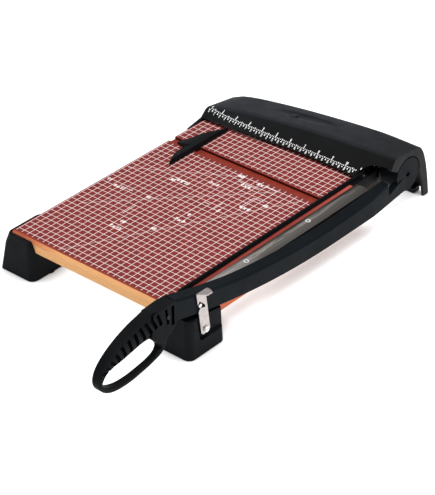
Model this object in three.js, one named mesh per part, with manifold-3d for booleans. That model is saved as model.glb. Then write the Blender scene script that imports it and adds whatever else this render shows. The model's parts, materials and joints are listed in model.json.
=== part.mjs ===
// Guillotine paper cutter: a gridded board on moulded feet, with a long blade arm, a latch and a sliding fence.
// Lengths are in millimetres. X runs right, Y away from the user and Z up.
// Each piece is drawn about the middle crossing of the printed grid on top of the board.
// The finished group then stands on its feet, with zero under the middle of the whole machine.
import * as THREE from 'three';
import { mergeVertices } from 'three/addons/utils/BufferGeometryUtils.js';
import Module from 'manifold-3d';

const wasm = await Module();
wasm.setup();

// Shared allowances
const clearance = 0.3;
const overrun = 2;
const roundSides = 24;
const smallSides = 12;

// Board
const gridToLeftEdge = 142.5;
const gridToFrontEdge = 114;
const boardWidth = 306.9;
const boardDepth = 466;
const boardThickness = 16;
const standHeight = 60;
const nosingWidth = 5;
const nosingDrop = 4;
const grooveFromGrid = 200;
const grooveWidth = 13;
const grooveDepth = 3.5;
const grooveStopFromGrid = 130;
const hubNotchWidth = 52.4;
const hubNotchDepth = 32;

// Steel bed plate let into the right edge
const bedPlateWidth = 22.5;
const bedPlateLength = 384;
const bedPlateThickness = 3;
const bedPlateFrontInset = 4;
const bedPlateOverhang = 0.6;
const bedScrewPitch = 127;
const bedScrewCount = 3;
const bedScrewFrontInset = 14;
const bedScrewSideInset = 8;

// Rail under the board's right edge
const railWidth = 20;
const railHeight = 20;
const railRearFromGrid = 272;
const railScrewInset = 60;

// Guard rail along the cut
const guardFromGrid = 137;
const guardThickness = 2.5;
const guardHeight = 7;
const guardFrontFromGrid = -84;
const guardRearFromGrid = 300;
const paperGap = 1;
const guardTabWidth = 5;
const guardTabLength = 12;
const guardTabThickness = 2;

// Front feet
const footWall = 3.5;
const footDeck = 4;
const footCorner = 10;
const footDepth = 65;
const footRimFromBoard = 6;
const footFlareFront = 4.2;
const leftFootWidth = 62.5;
const leftFootRim = 3;
const leftFootFlare = 12.5;
const leftFootBulge = 2;
const leftFootCorner = 4;
const footShoulderInset = 42;
const footShoulderSlope = 6;
const rightFootWidth = 62;
const rightFootFlare = 2;
const rightFootRimDrop = 2;
const rightFootRearDrop = 11;
const padRadius = 7;
const padThickness = 2.2;
const padStandOff = 1;
const padWall = 2;
const footScrewSpacing = 30;

// Arm and hub
const pivotFromGrid = 347;
const pivotDrop = 6;
const hubRadius = 25.2;
const hubLength = 29;
const armBowRadius = 1190;
const armLowFromGrid = 175;
const armLowDrop = 16;
const armHeight = 29.5;
const armFrontExtra = 3.5;
const armFrontExtraLength = 110;
const armFrontFromGrid = -141.7;
const armRearFromGrid = 346;
const armLeftFromGrid = 168;
const armWidth = 16.6;
const armHubWidth = 7.4;
const armTaperLength = 84;
const armRidgeInset = 2;
const armRidgeDrop = 1;
const armRearRidgeDrop = 6;
const armEdgeRound = 1.6;
const armStations = 28;
const neckReliefRadius = 50;
const neckAngle = 11.5;

// Moving blade on the arm's left face
const bladeThickness = 2.4;
const bladeArmGap = 0.3;
const bladeFrontFromGrid = -112;
const bladeRearFromGrid = 290;
const bladeTopRise = 5;
const bladeFrontDip = 4;
const bladeRearDip = 24;
const bladeBow = 2.5;
const bladeScrewCount = 4;
const bladeScrewEndInset = 28;

// Loop handle
const handleLength = 136;
const handleTop = 45;
const handleHeight = 82;
const handleWidth = 20.6;
const handleSectionRoundShare = 0.28;
const handleRings = 68;
const handleRibCount = 13;
const handleRibSlotWidth = 3.6;
const handleRibSlotDepth = 2.6;
const tangLength = 28;
const tangWidth = 8;
const tangHeight = 16;

// Latch
const latchScrewFromGrid = -90.3;
const latchScrewDrop = 25.1;
const latchThickness = 1.6;
const latchArmGap = 0.5;
const latchWidth = 16.6;
const latchLength = 58;
const latchLean = 6;
const latchTabReach = 10;
const latchTabLength = 21;
const latchTabChamfer = 5;
const latchPinRadius = 2.8;
const latchPinReach = 4.6;
const latchPinRise = 40;
const latchPinForward = 4;
const latchPocketDepth = 3.4;
const latchPocketDrop = 38;
const latchPocketFrontFromGrid = -103;
const latchPocketCorner = 4.75;
const armRestLength = 17.5;
const latchWasherThickness = 0.9;

// Head housing
const headWall = 3.2;
const headEndWall = 4;
const headLeftFromGrid = -146;
const headFrontFromGrid = 273;
const headFrontBow = 10.6;
const headLipHeight = 4.5;
const headLipWidth = 5;
const headCreaseFromGrid = 286;
const headCreaseSweep = 31.5;
const headCreaseHeight = 32;
const headCreaseRound = 5;
const headRearFromGrid = 346;
const headRearSweep = 26;
const headRearHeight = 28;
const headRearReach = 20;
const headFootFromGrid = 386;
const headFootSweep = 10.7;
const headStations = 24;
const headRearSteps = 8;
const headCreaseSteps = 4;
const headEndSkirtReach = 31;
const headEndSkirtDrop = 5.5;
const headLegDepth = 41;
const headRightLegInset = 15;
const headLegArch = 29;
const headLegArchRound = 5.8;
const headWingKick = 3.7;
const headNotchWidth = 45;
const headNotchHeight = 20.5;
const headNotchCurve = 25;
const headNotchDepth = 318;
const headArchGap = 2;
const headLipAngle = 30.2;
const headWingInset = 11;
const headBossRadius = 6;
const headScrewFromGrid = 340;
const headKickHeight = 8;
const headRecessMiddle = 141;
const headRecessLength = 116;
const headRecessWidth = 20;
const headRecessDepth = 1.3;
const headRecessRound = 5;
const headRecessPlaceShare = 0.6;

// Pivot hardware
const bracketThickness = 5;
const bracketFlange = 3;
const bracketFlangeReach = 76;
const bracketRadius = 20;
const pivotShank = 4;
const pivotHeadRadius = 5;
const pivotHeadHeight = 4;
const pivotWasherThickness = 1.4;
const pivotWasherRadius = 12;
const pivotNutRadius = 7.5;
const pivotNutThickness = 6;
const pivotTail = 1;
const springWire = 2;
const springRadius = 7.5;
const springTurns = 5;
const springLength = 17;
const springSteps = 10;

// Sliding fence
const fenceFaceFromGrid = -92.5;
const fenceFrontFromGrid = 148.6;
const fenceRearFromGrid = 272;
const fenceWidth = 33.5;
const fenceHeight = 8.5;
const fenceEdgeHeight = 2.5;
const fenceRidgeShare = 0.25;
const fenceScrewLength = 5;
const fenceRunnerLength = 26;
const fenceScrewSpacing = 14;

// Screws
const flatScrew = { headRadius: 4.5, headHeight: 2.4, shank: 1.9, length: 12, slotWidth: 1.1, slotDepth: 0.9 };
const panScrew = { headRadius: 4, headHeight: 2.2, shank: 1.9, length: 13, slotWidth: 1.1, slotDepth: 1 };
const tinyScrew = { headRadius: 2, headHeight: 1.2, shank: 1.1, length: 8, slotWidth: 0.6, slotDepth: 0.5 };
const handleScrewSize = { headRadius: 3, headHeight: 2, shank: 1.6, length: 13, slotWidth: 0.8, slotDepth: 0.8 };
const latchScrewSize = { headRadius: 4.2, headHeight: 2.4, shank: 2.1, length: 15, slotWidth: 1.2, slotDepth: 1 };
const bladeScrewSize = { headRadius: 2.6, headHeight: 1.4, shank: 1.4, length: 9, slotWidth: 0.8, slotDepth: 0.6 };

// Places worked out from the sizes above
const boardLeft = -gridToLeftEdge;
const boardRight = boardLeft + boardWidth;
const boardFront = -gridToFrontEdge;
const boardRear = boardFront + boardDepth;
const boardBottom = -boardThickness;
const table = -standHeight;
const footBottom = table + padStandOff;
const bedRight = boardRight + bedPlateOverhang;
const bedLeft = bedRight - bedPlateWidth;
const bedFront = boardFront + bedPlateFrontInset;
const bedRear = bedFront + bedPlateLength;
const bedScrewAcross = bedLeft + bedScrewSideInset;
const grooveRear = grooveFromGrid + grooveWidth;
const hubNotchLeft = boardRight - hubNotchWidth;
const hubNotchFront = boardRear - hubNotchDepth;
const hubHeight = -pivotDrop;
const hubRight = armLeftFromGrid + armHubWidth + clearance * 2;
const hubLeft = hubRight - hubLength;
const armRight = armLeftFromGrid + armWidth;
const handleMiddle = armLeftFromGrid + armWidth / 2;
const headRight = hubRight;
const headLength = headRight - headLeftFromGrid;
const latchInside = armRight + latchArmGap;
const latchHeight = -latchScrewDrop;
const rightFootRight = armRight + latchArmGap + rightFootFlare;
const leftFootLeft = boardLeft - leftFootRim;
const railTop = boardBottom - clearance;
const railBottom = railTop - railHeight;
const railLeft = boardRight - railWidth;

const degrees = Math.PI / 180;
const alongX = new THREE.Vector3(1, 0, 0);
const alongY = new THREE.Vector3(0, 1, 0);
const alongZ = new THREE.Vector3(0, 0, 1);

// Closed three.js geometry to a solid that can be cut and joined
function solid(geometry) {
  const bare = geometry.clone();
  bare.deleteAttribute('normal');
  bare.deleteAttribute('uv');
  const merged = mergeVertices(bare);
  return new wasm.Manifold(new wasm.Mesh({
    numProp: 3,
    vertProperties: new Float32Array(merged.attributes.position.array),
    triVerts: new Uint32Array(merged.index.array),
  }));
}

// A finished solid back to geometry with flat faces
function geometryOf(body) {
  const mesh = body.getMesh();
  const geometry = new THREE.BufferGeometry();
  geometry.setAttribute('position', new THREE.BufferAttribute(mesh.vertProperties, 3));
  geometry.setIndex(new THREE.BufferAttribute(mesh.triVerts, 1));
  geometry.computeVertexNormals();
  return geometry;
}

function box(left, right, front, rear, bottom, top) {
  const geometry = new THREE.BoxGeometry(right - left, rear - front, top - bottom);
  geometry.translate((left + right) / 2, (front + rear) / 2, (bottom + top) / 2);
  return solid(geometry);
}

function prism(outline, length, basis, offset) {
  const shape = new THREE.Shape(outline.map(([a, b]) => new THREE.Vector2(a, b)));
  const geometry = new THREE.ExtrudeGeometry(shape, { depth: length, bevelEnabled: false, steps: 1 });
  geometry.applyMatrix4(basis);
  geometry.translate(...offset);
  return solid(geometry);
}

// Prisms of an outline given as [y, z], [x, z] and [x, y] points
function prismX(outline, left, right) {
  return prism(outline, right - left, new THREE.Matrix4().makeBasis(alongY, alongZ, alongX), [left, 0, 0]);
}

function prismY(outline, front, rear) {
  const basis = new THREE.Matrix4().makeBasis(alongX, alongZ, alongY.clone().negate());
  return prism(outline, rear - front, basis, [0, rear, 0]);
}

function prismZ(outline, bottom, top) {
  return prism(outline, top - bottom, new THREE.Matrix4(), [0, 0, bottom]);
}

// A round bar or cone along X or Z; `at` holds its other two coordinates
function rod(axis, at, from, to, radius, endRadius = radius, sides = roundSides) {
  const geometry = new THREE.CylinderGeometry(endRadius, radius, to - from, sides);
  geometry.translate(0, (from + to) / 2, 0);
  if (axis === 'x') {
    geometry.rotateZ(-Math.PI / 2);
    geometry.translate(0, at[0], at[1]);
  } else {
    geometry.rotateX(Math.PI / 2);
    geometry.translate(at[0], at[1], 0);
  }
  return solid(geometry);
}

// A closed solid through rings of points; `flatten` gives a ring's points in its own plane
function loft(rings, flatten, looped = false) {
  const count = rings[0].length;
  const positions = rings.flat().flatMap((point) => [point.x, point.y, point.z]);
  const index = [];
  const spans = looped ? rings.length : rings.length - 1;
  for (let ring = 0; ring < spans; ring += 1) {
    const here = ring * count;
    const there = ((ring + 1) % rings.length) * count;
    for (let i = 0; i < count; i += 1) {
      const next = (i + 1) % count;
      index.push(here + i, here + next, there + next, here + i, there + next, there + i);
    }
  }
  if (!looped) {
    const last = (rings.length - 1) * count;
    for (const [a, b, c] of capFaces(rings[0].map(flatten))) index.push(a, c, b);
    for (const [a, b, c] of capFaces(rings[rings.length - 1].map(flatten))) {
      index.push(last + a, last + b, last + c);
    }
  }
  const geometry = new THREE.BufferGeometry();
  geometry.setAttribute('position', new THREE.Float32BufferAttribute(positions, 3));
  geometry.setIndex(enclosedVolume(positions, index) < 0 ? index.reverse() : index);
  return solid(geometry);
}

// Triangles over a flat ring, turned the way that the ring runs
function capFaces(contour) {
  const ringTurn = Math.sign(THREE.ShapeUtils.area(contour));
  return THREE.ShapeUtils.triangulateShape(contour, []).map(([a, b, c]) => {
    const turn = Math.sign(THREE.ShapeUtils.area([contour[a], contour[b], contour[c]]));
    return turn === ringTurn ? [a, b, c] : [a, c, b];
  });
}

function enclosedVolume(positions, index) {
  const corner = (i) => new THREE.Vector3().fromArray(positions, i * 3);
  let volume = 0;
  for (let i = 0; i < index.length; i += 3) {
    volume += corner(index[i]).dot(corner(index[i + 1]).cross(corner(index[i + 2]))) / 6;
  }
  return volume;
}

const sideView = (point) => new THREE.Vector2(point.y, point.z);
const frontView = (point) => new THREE.Vector2(point.x, point.z);
const planView = (point) => new THREE.Vector2(point.x, point.y);

// A value that follows a table of [share, value] pairs with smooth bends
function follow(table, share) {
  let i = 0;
  while (i < table.length - 2 && share > table[i + 1][0]) i += 1;
  const slope = (k) => {
    const before = table[Math.max(k - 1, 0)];
    const after = table[Math.min(k + 1, table.length - 1)];
    return (after[1] - before[1]) / (after[0] - before[0]);
  };
  const [start, end] = [table[i], table[i + 1]];
  const span = end[0] - start[0];
  const t = (share - start[0]) / span;
  const rise = end[1] - start[1];
  const startPull = slope(i) * span;
  const endPull = slope(i + 1) * span;
  return start[1] + t * startPull + t * t * (3 * rise - 2 * startPull - endPull)
    + t * t * t * (startPull + endPull - 2 * rise);
}

// Points of a bend between two ends, drawn toward a corner
function bend(start, corner, end, steps) {
  const curve = new THREE.QuadraticBezierCurve(
    new THREE.Vector2(...start), new THREE.Vector2(...corner), new THREE.Vector2(...end));
  return curve.getPoints(steps).map((point) => [point.x, point.y]);
}

function roundedRectangle(left, right, front, rear, usual, height, leftFront = usual) {
  const corners = [
    [right, front, -90, usual], [right, rear, 0, usual], [left, rear, 90, usual], [left, front, 180, leftFront],
  ];
  const steps = roundSides / 4;
  return corners.flatMap(([x, y, turn, radius]) => {
    const middleX = x === right ? x - radius : x + radius;
    const middleY = y === rear ? y - radius : y + radius;
    return Array.from({ length: steps + 1 }, (_, i) => {
      const angle = (turn + (90 * i) / steps) * degrees;
      return new THREE.Vector3(middleX + radius * Math.cos(angle), middleY + radius * Math.sin(angle), height);
    });
  });
}

function joined(first, ...others) {
  return others.reduce((body, other) => body.add(other), first);
}

function cut(first, ...others) {
  return others.reduce((body, other) => body.subtract(other), first);
}

// A slotted screw whose head's outer face lies at `face`; its shank runs toward +1 or -1 along the axis
function screw(size, axis, at, face, toward, countersunk = false) {
  const head = face + toward * size.headHeight;
  const tip = face + toward * size.length;
  const headRod = toward > 0
    ? rod(axis, at, face, head, size.headRadius, countersunk ? size.shank : size.headRadius, smallSides)
    : rod(axis, at, head, face, countersunk ? size.shank : size.headRadius, size.headRadius, smallSides);
  const shankStart = face + (toward * size.headHeight) / 2;
  const shank = rod(axis, at, Math.min(shankStart, tip), Math.max(shankStart, tip), size.shank, size.shank, smallSides);
  const slotFloor = face + toward * size.slotDepth;
  const slotMouth = face - toward * overrun;
  const near = Math.min(slotFloor, slotMouth);
  const far = Math.max(slotFloor, slotMouth);
  const halfSlot = size.slotWidth / 2;
  const reach = size.headRadius + overrun;
  const slot = axis === 'x'
    ? box(near, far, at[0] - reach, at[0] + reach, at[1] - halfSlot, at[1] + halfSlot)
    : box(at[0] - reach, at[0] + reach, at[1] - halfSlot, at[1] + halfSlot, near, far);
  return cut(joined(headRod, shank), slot);
}

// The room that a screw takes out of what it passes through
function screwRoom(size, axis, at, face, toward, countersunk = false) {
  const headRadius = size.headRadius + clearance;
  const shankRadius = size.shank + clearance;
  const mouth = face - toward * overrun;
  const head = face + toward * (size.headHeight + clearance);
  const tip = face + toward * (size.length + clearance);
  const shank = rod(axis, at, Math.min(mouth, tip), Math.max(mouth, tip), shankRadius, shankRadius, smallSides);
  if (!countersunk) {
    const seat = rod(axis, at, Math.min(mouth, head), Math.max(mouth, head), headRadius, headRadius, smallSides);
    return joined(shank, seat);
  }
  const cone = toward > 0
    ? rod(axis, at, face, head, headRadius, shankRadius, smallSides)
    : rod(axis, at, head, face, shankRadius, headRadius, smallSides);
  return joined(shank, cone);
}

// The arm's bow: height of its middle line, and of its top and bottom, at a place along Y
const armMiddle = (y) => -armLowDrop + armBowRadius - Math.sqrt(armBowRadius ** 2 - (y - armLowFromGrid) ** 2);
const armBottom = (y) => armMiddle(Math.min(y, armLowFromGrid)) - armHeight / 2;
function armTop(y) {
  const reach = (armFrontFromGrid + armFrontExtraLength - y) / armFrontExtraLength;
  return armMiddle(y) + armHeight / 2 + armFrontExtra * THREE.MathUtils.clamp(reach, 0, 1);
}

const bedScrewPlaces = Array.from({ length: bedScrewCount }, (_, i) =>
  [bedScrewAcross, bedFront + bedScrewFrontInset + i * bedScrewPitch]);
const railScrewPlaces = [boardFront + footDepth + railScrewInset, railRearFromGrid - railScrewInset]
  .map((y) => [railLeft + railWidth / 2, y]);
const guardTabPlaces = [guardFrontFromGrid, guardRearFromGrid - guardTabLength];
const guardScrewPlaces = guardTabPlaces.map((y) => [guardFromGrid + guardTabWidth / 2, y + guardTabLength / 2]);
const footMiddle = boardFront + footDepth / 2 - footRimFromBoard;
const leftScrewAcross = boardLeft + leftFootWidth / 2 - footCorner;
const rightScrewAcross = guardFromGrid;
const footScrewPlaces = [leftScrewAcross, rightScrewAcross].flatMap((x) =>
  [-1, 1].map((side) => [x, footMiddle + (side * footScrewSpacing) / 2]));
const footScrewFace = boardBottom - clearance * 2 - footDeck - panScrew.headHeight;
const headScrewShares = [0.13, 0.54, 0.95];
const headScrewPlaces = headScrewShares.map((share) =>
  [THREE.MathUtils.lerp(boardLeft, bracketFlangeReach, share), headScrewFromGrid]);
const headScrewSize = { ...panScrew, length: boardThickness + panScrew.length };
const headScrewFace = boardBottom - clearance - panScrew.headHeight;
const bracketScrewPlaces = [0.25, 0.75].map((share) =>
  [THREE.MathUtils.lerp(bracketFlangeReach, hubNotchLeft, share), pivotFromGrid]);
const bracketTop = boardBottom - clearance;
const bracketScrewFace = bracketTop - bracketFlange - clearance - panScrew.headHeight;

function boardSolid() {
  const nosing = prismX([
    [boardFront - overrun, -nosingDrop], [boardFront, -nosingDrop], [boardFront + nosingWidth, 0],
    [boardFront + nosingWidth, overrun], [boardFront - overrun, overrun],
  ], boardLeft - overrun, boardRight + overrun);
  const groove = box(boardLeft - overrun, grooveStopFromGrid, grooveFromGrid, grooveRear, -grooveDepth, overrun);
  const rebate = box(bedLeft - clearance, boardRight + overrun, bedFront - clearance, bedRear + clearance,
    -bedPlateThickness - clearance, overrun);
  const hubNotch = box(hubNotchLeft, boardRight + overrun, hubNotchFront, boardRear + overrun,
    boardBottom - overrun, overrun);
  const armNotch = box(bedLeft - clearance, boardRight + overrun, bedRear + clearance, boardRear + overrun,
    boardBottom - overrun, overrun);
  return cut(
    box(boardLeft, boardRight, boardFront, boardRear, boardBottom, 0), nosing, groove, rebate, hubNotch, armNotch,
    ...bedScrewPlaces.map((at) => screwRoom(flatScrew, 'z', at, 0, -1, true)),
    ...guardScrewPlaces.map((at) => screwRoom(tinyScrew, 'z', at, guardScrewFace, -1)),
    ...railScrewPlaces.map((at) => screwRoom(panScrew, 'z', at, railScrewFace, 1)),
    ...footScrewPlaces.map((at) => screwRoom(panScrew, 'z', at, footScrewFace, 1)),
    ...headScrewPlaces.map((at) => screwRoom(headScrewSize, 'z', at, headScrewFace, 1)),
    ...bracketScrewPlaces.map((at) => screwRoom(panScrew, 'z', at, bracketScrewFace, 1)),
  );
}

const guardScrewFace = clearance * 2 + guardTabThickness + tinyScrew.headHeight;
const railScrewFace = railBottom + railHeight - boardThickness / 2;

function bedPlateSolid() {
  return cut(
    box(bedLeft, bedRight, bedFront, bedRear, -bedPlateThickness, 0),
    ...bedScrewPlaces.map((at) => screwRoom(flatScrew, 'z', at, 0, -1, true)),
  );
}

function edgeRailSolid() {
  const front = boardFront - footRimFromBoard + footDepth + clearance;
  return cut(
    box(railLeft, boardRight, front, railRearFromGrid, railBottom, railTop),
    ...railScrewPlaces.map((at) => screwRoom(panScrew, 'z', at, railScrewFace, 1)),
    ...railScrewPlaces.map((at) =>
      rod('z', at, railBottom - overrun, railScrewFace + panScrew.headHeight, panScrew.headRadius + clearance)),
  );
}

// A thin fin that stands a paper's thickness over the board, with a screwed tab at each end
function guardSolid() {
  const left = guardFromGrid - guardThickness;
  const rear = guardRearFromGrid;
  const fin = box(left, guardFromGrid, guardFrontFromGrid, rear, paperGap, paperGap + guardHeight);
  const tabs = guardTabPlaces.flatMap((y) => [
    box(left, guardFromGrid + guardTabWidth - clearance, y, y + guardTabLength, clearance,
      clearance + guardTabThickness),
  ]);
  return cut(joined(fin, ...tabs), ...guardScrewPlaces.map((at) => screwRoom(tinyScrew, 'z', at, guardScrewFace, -1)));
}

// The board with a gap all round, as the feet are cut by it
function boardRoom() {
  return box(boardLeft - clearance, boardRight + clearance, boardFront - clearance, boardRear,
    boardBottom - clearance, standHeight);
}

function padPlace(x) {
  return [x, footMiddle];
}

const leftPadPlaces = [boardLeft + footWall, boardLeft + leftFootWidth - footWall * 2 - padRadius * 2].map(padPlace);
const rightPadPlaces = [guardFromGrid + padRadius, armLeftFromGrid + padRadius].map(padPlace);

function padSeat(at) {
  return rod('z', at, footBottom - overrun, table + padThickness + clearance, padRadius + clearance);
}

// A front foot: a flared cup, open below, that wraps the board's corner
function footCup(topLeft, topRight, bottomLeft, bottomRight, bulge, leftCorner, screwPlaces, padPlaces) {
  const front = boardFront - footRimFromBoard;
  const rear = front + footDepth;
  const share = boardBottom / footBottom;
  const outside = loft([
    roundedRectangle(bottomLeft, bottomRight, front - footFlareFront, rear, footCorner, footBottom, leftCorner),
    roundedRectangle(THREE.MathUtils.lerp(topLeft, bottomLeft, share) - bulge,
      THREE.MathUtils.lerp(topRight, bottomRight, share), front - footFlareFront * share, rear, footCorner,
      boardBottom, (footCorner + leftCorner) / 2),
    roundedRectangle(topLeft, topRight, front, rear, footCorner, 0),
  ], planView);
  const innerCorner = footCorner - footWall;
  const deckBottom = boardBottom - clearance - footDeck;
  const hollow = loft([
    roundedRectangle(bottomLeft + footWall, Math.min(bottomRight, boardRight) - footWall,
      front - footFlareFront + footWall, rear - footWall, innerCorner, footBottom - overrun),
    roundedRectangle(topLeft + footWall, Math.min(topRight, boardRight) - footWall,
      front + footWall, rear - footWall, innerCorner, deckBottom),
  ], planView);
  const columns = padPlaces.map((at) =>
    rod('z', at, footBottom, deckBottom + overrun, padRadius + clearance + padWall).intersect(outside));
  return cut(
    joined(cut(outside, hollow), ...columns), boardRoom(),
    ...padPlaces.map(padSeat),
    ...screwPlaces.map((at) => screwRoom(panScrew, 'z', at, footScrewFace, 1)),
  );
}

// The front wall's upper inner corner slopes from the board's top to its underside
function shoulderCut(edge, inward) {
  const foot = edge + inward * footShoulderSlope;
  const far = foot + inward * footShoulderInset;
  return prismY([
    [edge, overrun], [edge, 0], [foot, boardBottom - clearance], [far, boardBottom - clearance], [far, overrun],
  ], boardFront - standHeight, boardFront + overrun);
}

function leftFootSolid() {
  const right = boardLeft + leftFootWidth - leftFootRim - leftFootFlare;
  const cup = footCup(leftFootLeft, right, leftFootLeft - leftFootFlare, right, leftFootBulge, leftFootCorner,
    footScrewPlaces.slice(0, 2), leftPadPlaces);
  return cut(cup, shoulderCut(right - footShoulderSlope, 1));
}

// The outboard side carries the arm at rest, gives the blade its slot and the latch its pocket
function rightFootSolid() {
  const left = rightFootRight + rightFootFlare - rightFootWidth;
  const front = boardFront - footRimFromBoard;
  const rear = front + footDepth;
  const cup = footCup(left, rightFootRight, left, rightFootRight + rightFootFlare, 0, footCorner,
    footScrewPlaces.slice(2), rightPadPlaces);
  const outboard = boardRight + clearance;
  const slope = prismX([
    [front - footFlareFront - overrun, -rightFootRimDrop], [front, -rightFootRimDrop], [rear, -rightFootRearDrop],
    [rear + overrun, -rightFootRearDrop], [rear + overrun, overrun], [front - footFlareFront - overrun, overrun],
  ], outboard, rightFootRight + rightFootFlare + overrun);
  const bladeLeft = armLeftFromGrid - bladeArmGap - bladeThickness;
  const bladeSlot = box(outboard - overrun, bladeLeft + bladeThickness + clearance * 2, boardFront - clearance,
    rear + overrun, boardBottom + overrun, overrun);
  const pocketFloor = latchInside - latchWasherThickness - clearance * 2;
  const pocket = prismX([
    [latchPocketFrontFromGrid - latchPocketCorner, overrun],
    [latchPocketFrontFromGrid, latchPocketCorner - latchPocketDrop],
    ...bend([latchPocketFrontFromGrid, latchPocketCorner - latchPocketDrop],
      [latchPocketFrontFromGrid, -latchPocketDrop],
      [latchPocketFrontFromGrid + latchPocketCorner, -latchPocketDrop], headCreaseSteps).slice(1),
    [rear + overrun, -latchPocketDrop], [rear + overrun, overrun],
  ], pocketFloor, pocketFloor + latchPocketDepth + rightFootFlare + overrun);
  const restFront = latchPocketFrontFromGrid + footCorner;
  const restRear = restFront + armRestLength;
  const restTop = armBottom(restRear) - clearance;
  const rest = box(armLeftFromGrid + armRidgeInset, armRight - armRidgeInset * 2, restFront, restRear,
    boardBottom, restTop);
  return cut(
    joined(cut(cup, shoulderCut(left + footShoulderSlope, -1), slope, bladeSlot), rest), pocket,
    screwRoom(latchScrewSize, 'x', [latchScrewFromGrid, latchHeight], latchScrewFace, -1),
  );
}

const latchScrewFace = latchInside + latchThickness + clearance + latchScrewSize.headHeight;

// Head housing: one outside section, at a share of the way along its length
const headFrontTable = [[0, 0], [0.205, 0.34], [0.41, 0.75], [0.556, 1], [0.776, 0.92], [0.93, 0.85], [1, 2.6]];
const headCreaseTable = [[0, 0], [0.1, 0.42], [0.205, 0.66], [0.41, 0.78], [0.556, 0.89], [0.776, 1], [1, 1]];
const headCreaseHeightTable = [[0, 0.5], [0.205, 0.64], [0.41, 0.79], [0.556, 0.86], [0.776, 0.93], [1, 1]];
const headRearTable = [[0, -0.12], [0.042, 0.05], [0.09, 0.17], [0.177, 0.42], [0.41, 0.77], [0.776, 1], [1, 0.87]];
const headRearHeightTable = [
  [0, 0.27], [0.042, 0.42], [0.09, 0.5], [0.177, 0.54], [0.41, 0.69], [0.776, 0.915], [1, 1],
];

// The head's crease and rear line, as places along Y and heights
const creaseLine = (share) => [headCreaseFromGrid + headCreaseSweep * follow(headCreaseTable, share),
  headCreaseHeight * follow(headCreaseHeightTable, share)];
const rearLine = (share) => [headRearFromGrid + headRearSweep * follow(headRearTable, share),
  headRearHeight * follow(headRearHeightTable, share)];

function headProfile(share, inset) {
  const front = headFrontFromGrid + headFrontBow * follow(headFrontTable, share);
  const crease = creaseLine(share)[0] + inset;
  const creaseHeight = creaseLine(share)[1] - inset;
  const rear = rearLine(share)[0];
  const rearHeight = rearLine(share)[1] - inset;
  const foot = headFootFromGrid + headFootSweep * share - inset;
  const floor = inset > 0 ? footBottom - overrun : footBottom;
  const lip = inset > 0 ? front + headLipWidth : front;
  const toLip = new THREE.Vector2(lip - crease, headLipHeight - creaseHeight).setLength(headCreaseRound);
  const toRear = new THREE.Vector2(rear - crease, rearHeight - creaseHeight).setLength(headCreaseRound);
  const mouth = inset > 0 ? front - headEndSkirtReach : front;
  return [
    [mouth, floor], [mouth, headLipHeight],
    ...(inset > 0 ? [[lip, headLipHeight]] : []),
    ...bend([crease + toLip.x, creaseHeight + toLip.y], [crease, creaseHeight],
      [crease + toRear.x, creaseHeight + toRear.y], headCreaseSteps),
    ...bend([rear, rearHeight], [rear + headRearReach - inset, rearHeight - nosingDrop / 2],
      [foot, floor], headRearSteps),
  ];
}

function headLoft(left, right, inset) {
  const rings = Array.from({ length: headStations + 1 }, (_, i) => {
    const x = THREE.MathUtils.lerp(left, right, i / headStations);
    const profile = headProfile((x - headLeftFromGrid) / headLength, inset);
    return profile.map(([y, z]) => new THREE.Vector3(x, y, z));
  });
  return loft(rings, sideView);
}

// A place on the head's top, between its crease and its rear line
function headTopPoint(along) {
  const share = along / headLength;
  const [y, z] = creaseLine(share).map((start, i) =>
    THREE.MathUtils.lerp(start, rearLine(share)[i], headRecessPlaceShare));
  return new THREE.Vector3(headLeftFromGrid + along, y, z);
}

// The room of the shallow oval scoop in the head's top: the lowest cap of a flattened ball
function headRecessRoom() {
  const start = headTopPoint(headRecessMiddle - headRecessLength / 2);
  const end = headTopPoint(headRecessMiddle + headRecessLength / 2);
  const share = headRecessMiddle / headLength;
  const [fall, drop] = rearLine(share).map((value, i) => value - creaseLine(share)[i]);
  const lengthways = end.clone().sub(start).normalize();
  const up = lengthways.clone().cross(new THREE.Vector3(0, fall, drop)).normalize();
  const across = up.clone().cross(lengthways);
  const level = headRecessRound - headRecessDepth;
  const widest = headRecessRound / Math.sqrt(headRecessRound ** 2 - level ** 2);
  const ball = new THREE.SphereGeometry(1, roundSides, roundSides / 2);
  ball.rotateX(Math.PI / 2);
  ball.scale((headRecessLength / 2) * widest, (headRecessWidth / 2) * widest, headRecessRound);
  ball.applyMatrix4(new THREE.Matrix4().makeBasis(lengthways, across, up));
  const centre = start.add(end).multiplyScalar(1 / 2).add(up.multiplyScalar(level));
  ball.translate(centre.x, centre.y, centre.z);
  return solid(ball);
}

const pivot = [pivotFromGrid, hubHeight];

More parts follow.
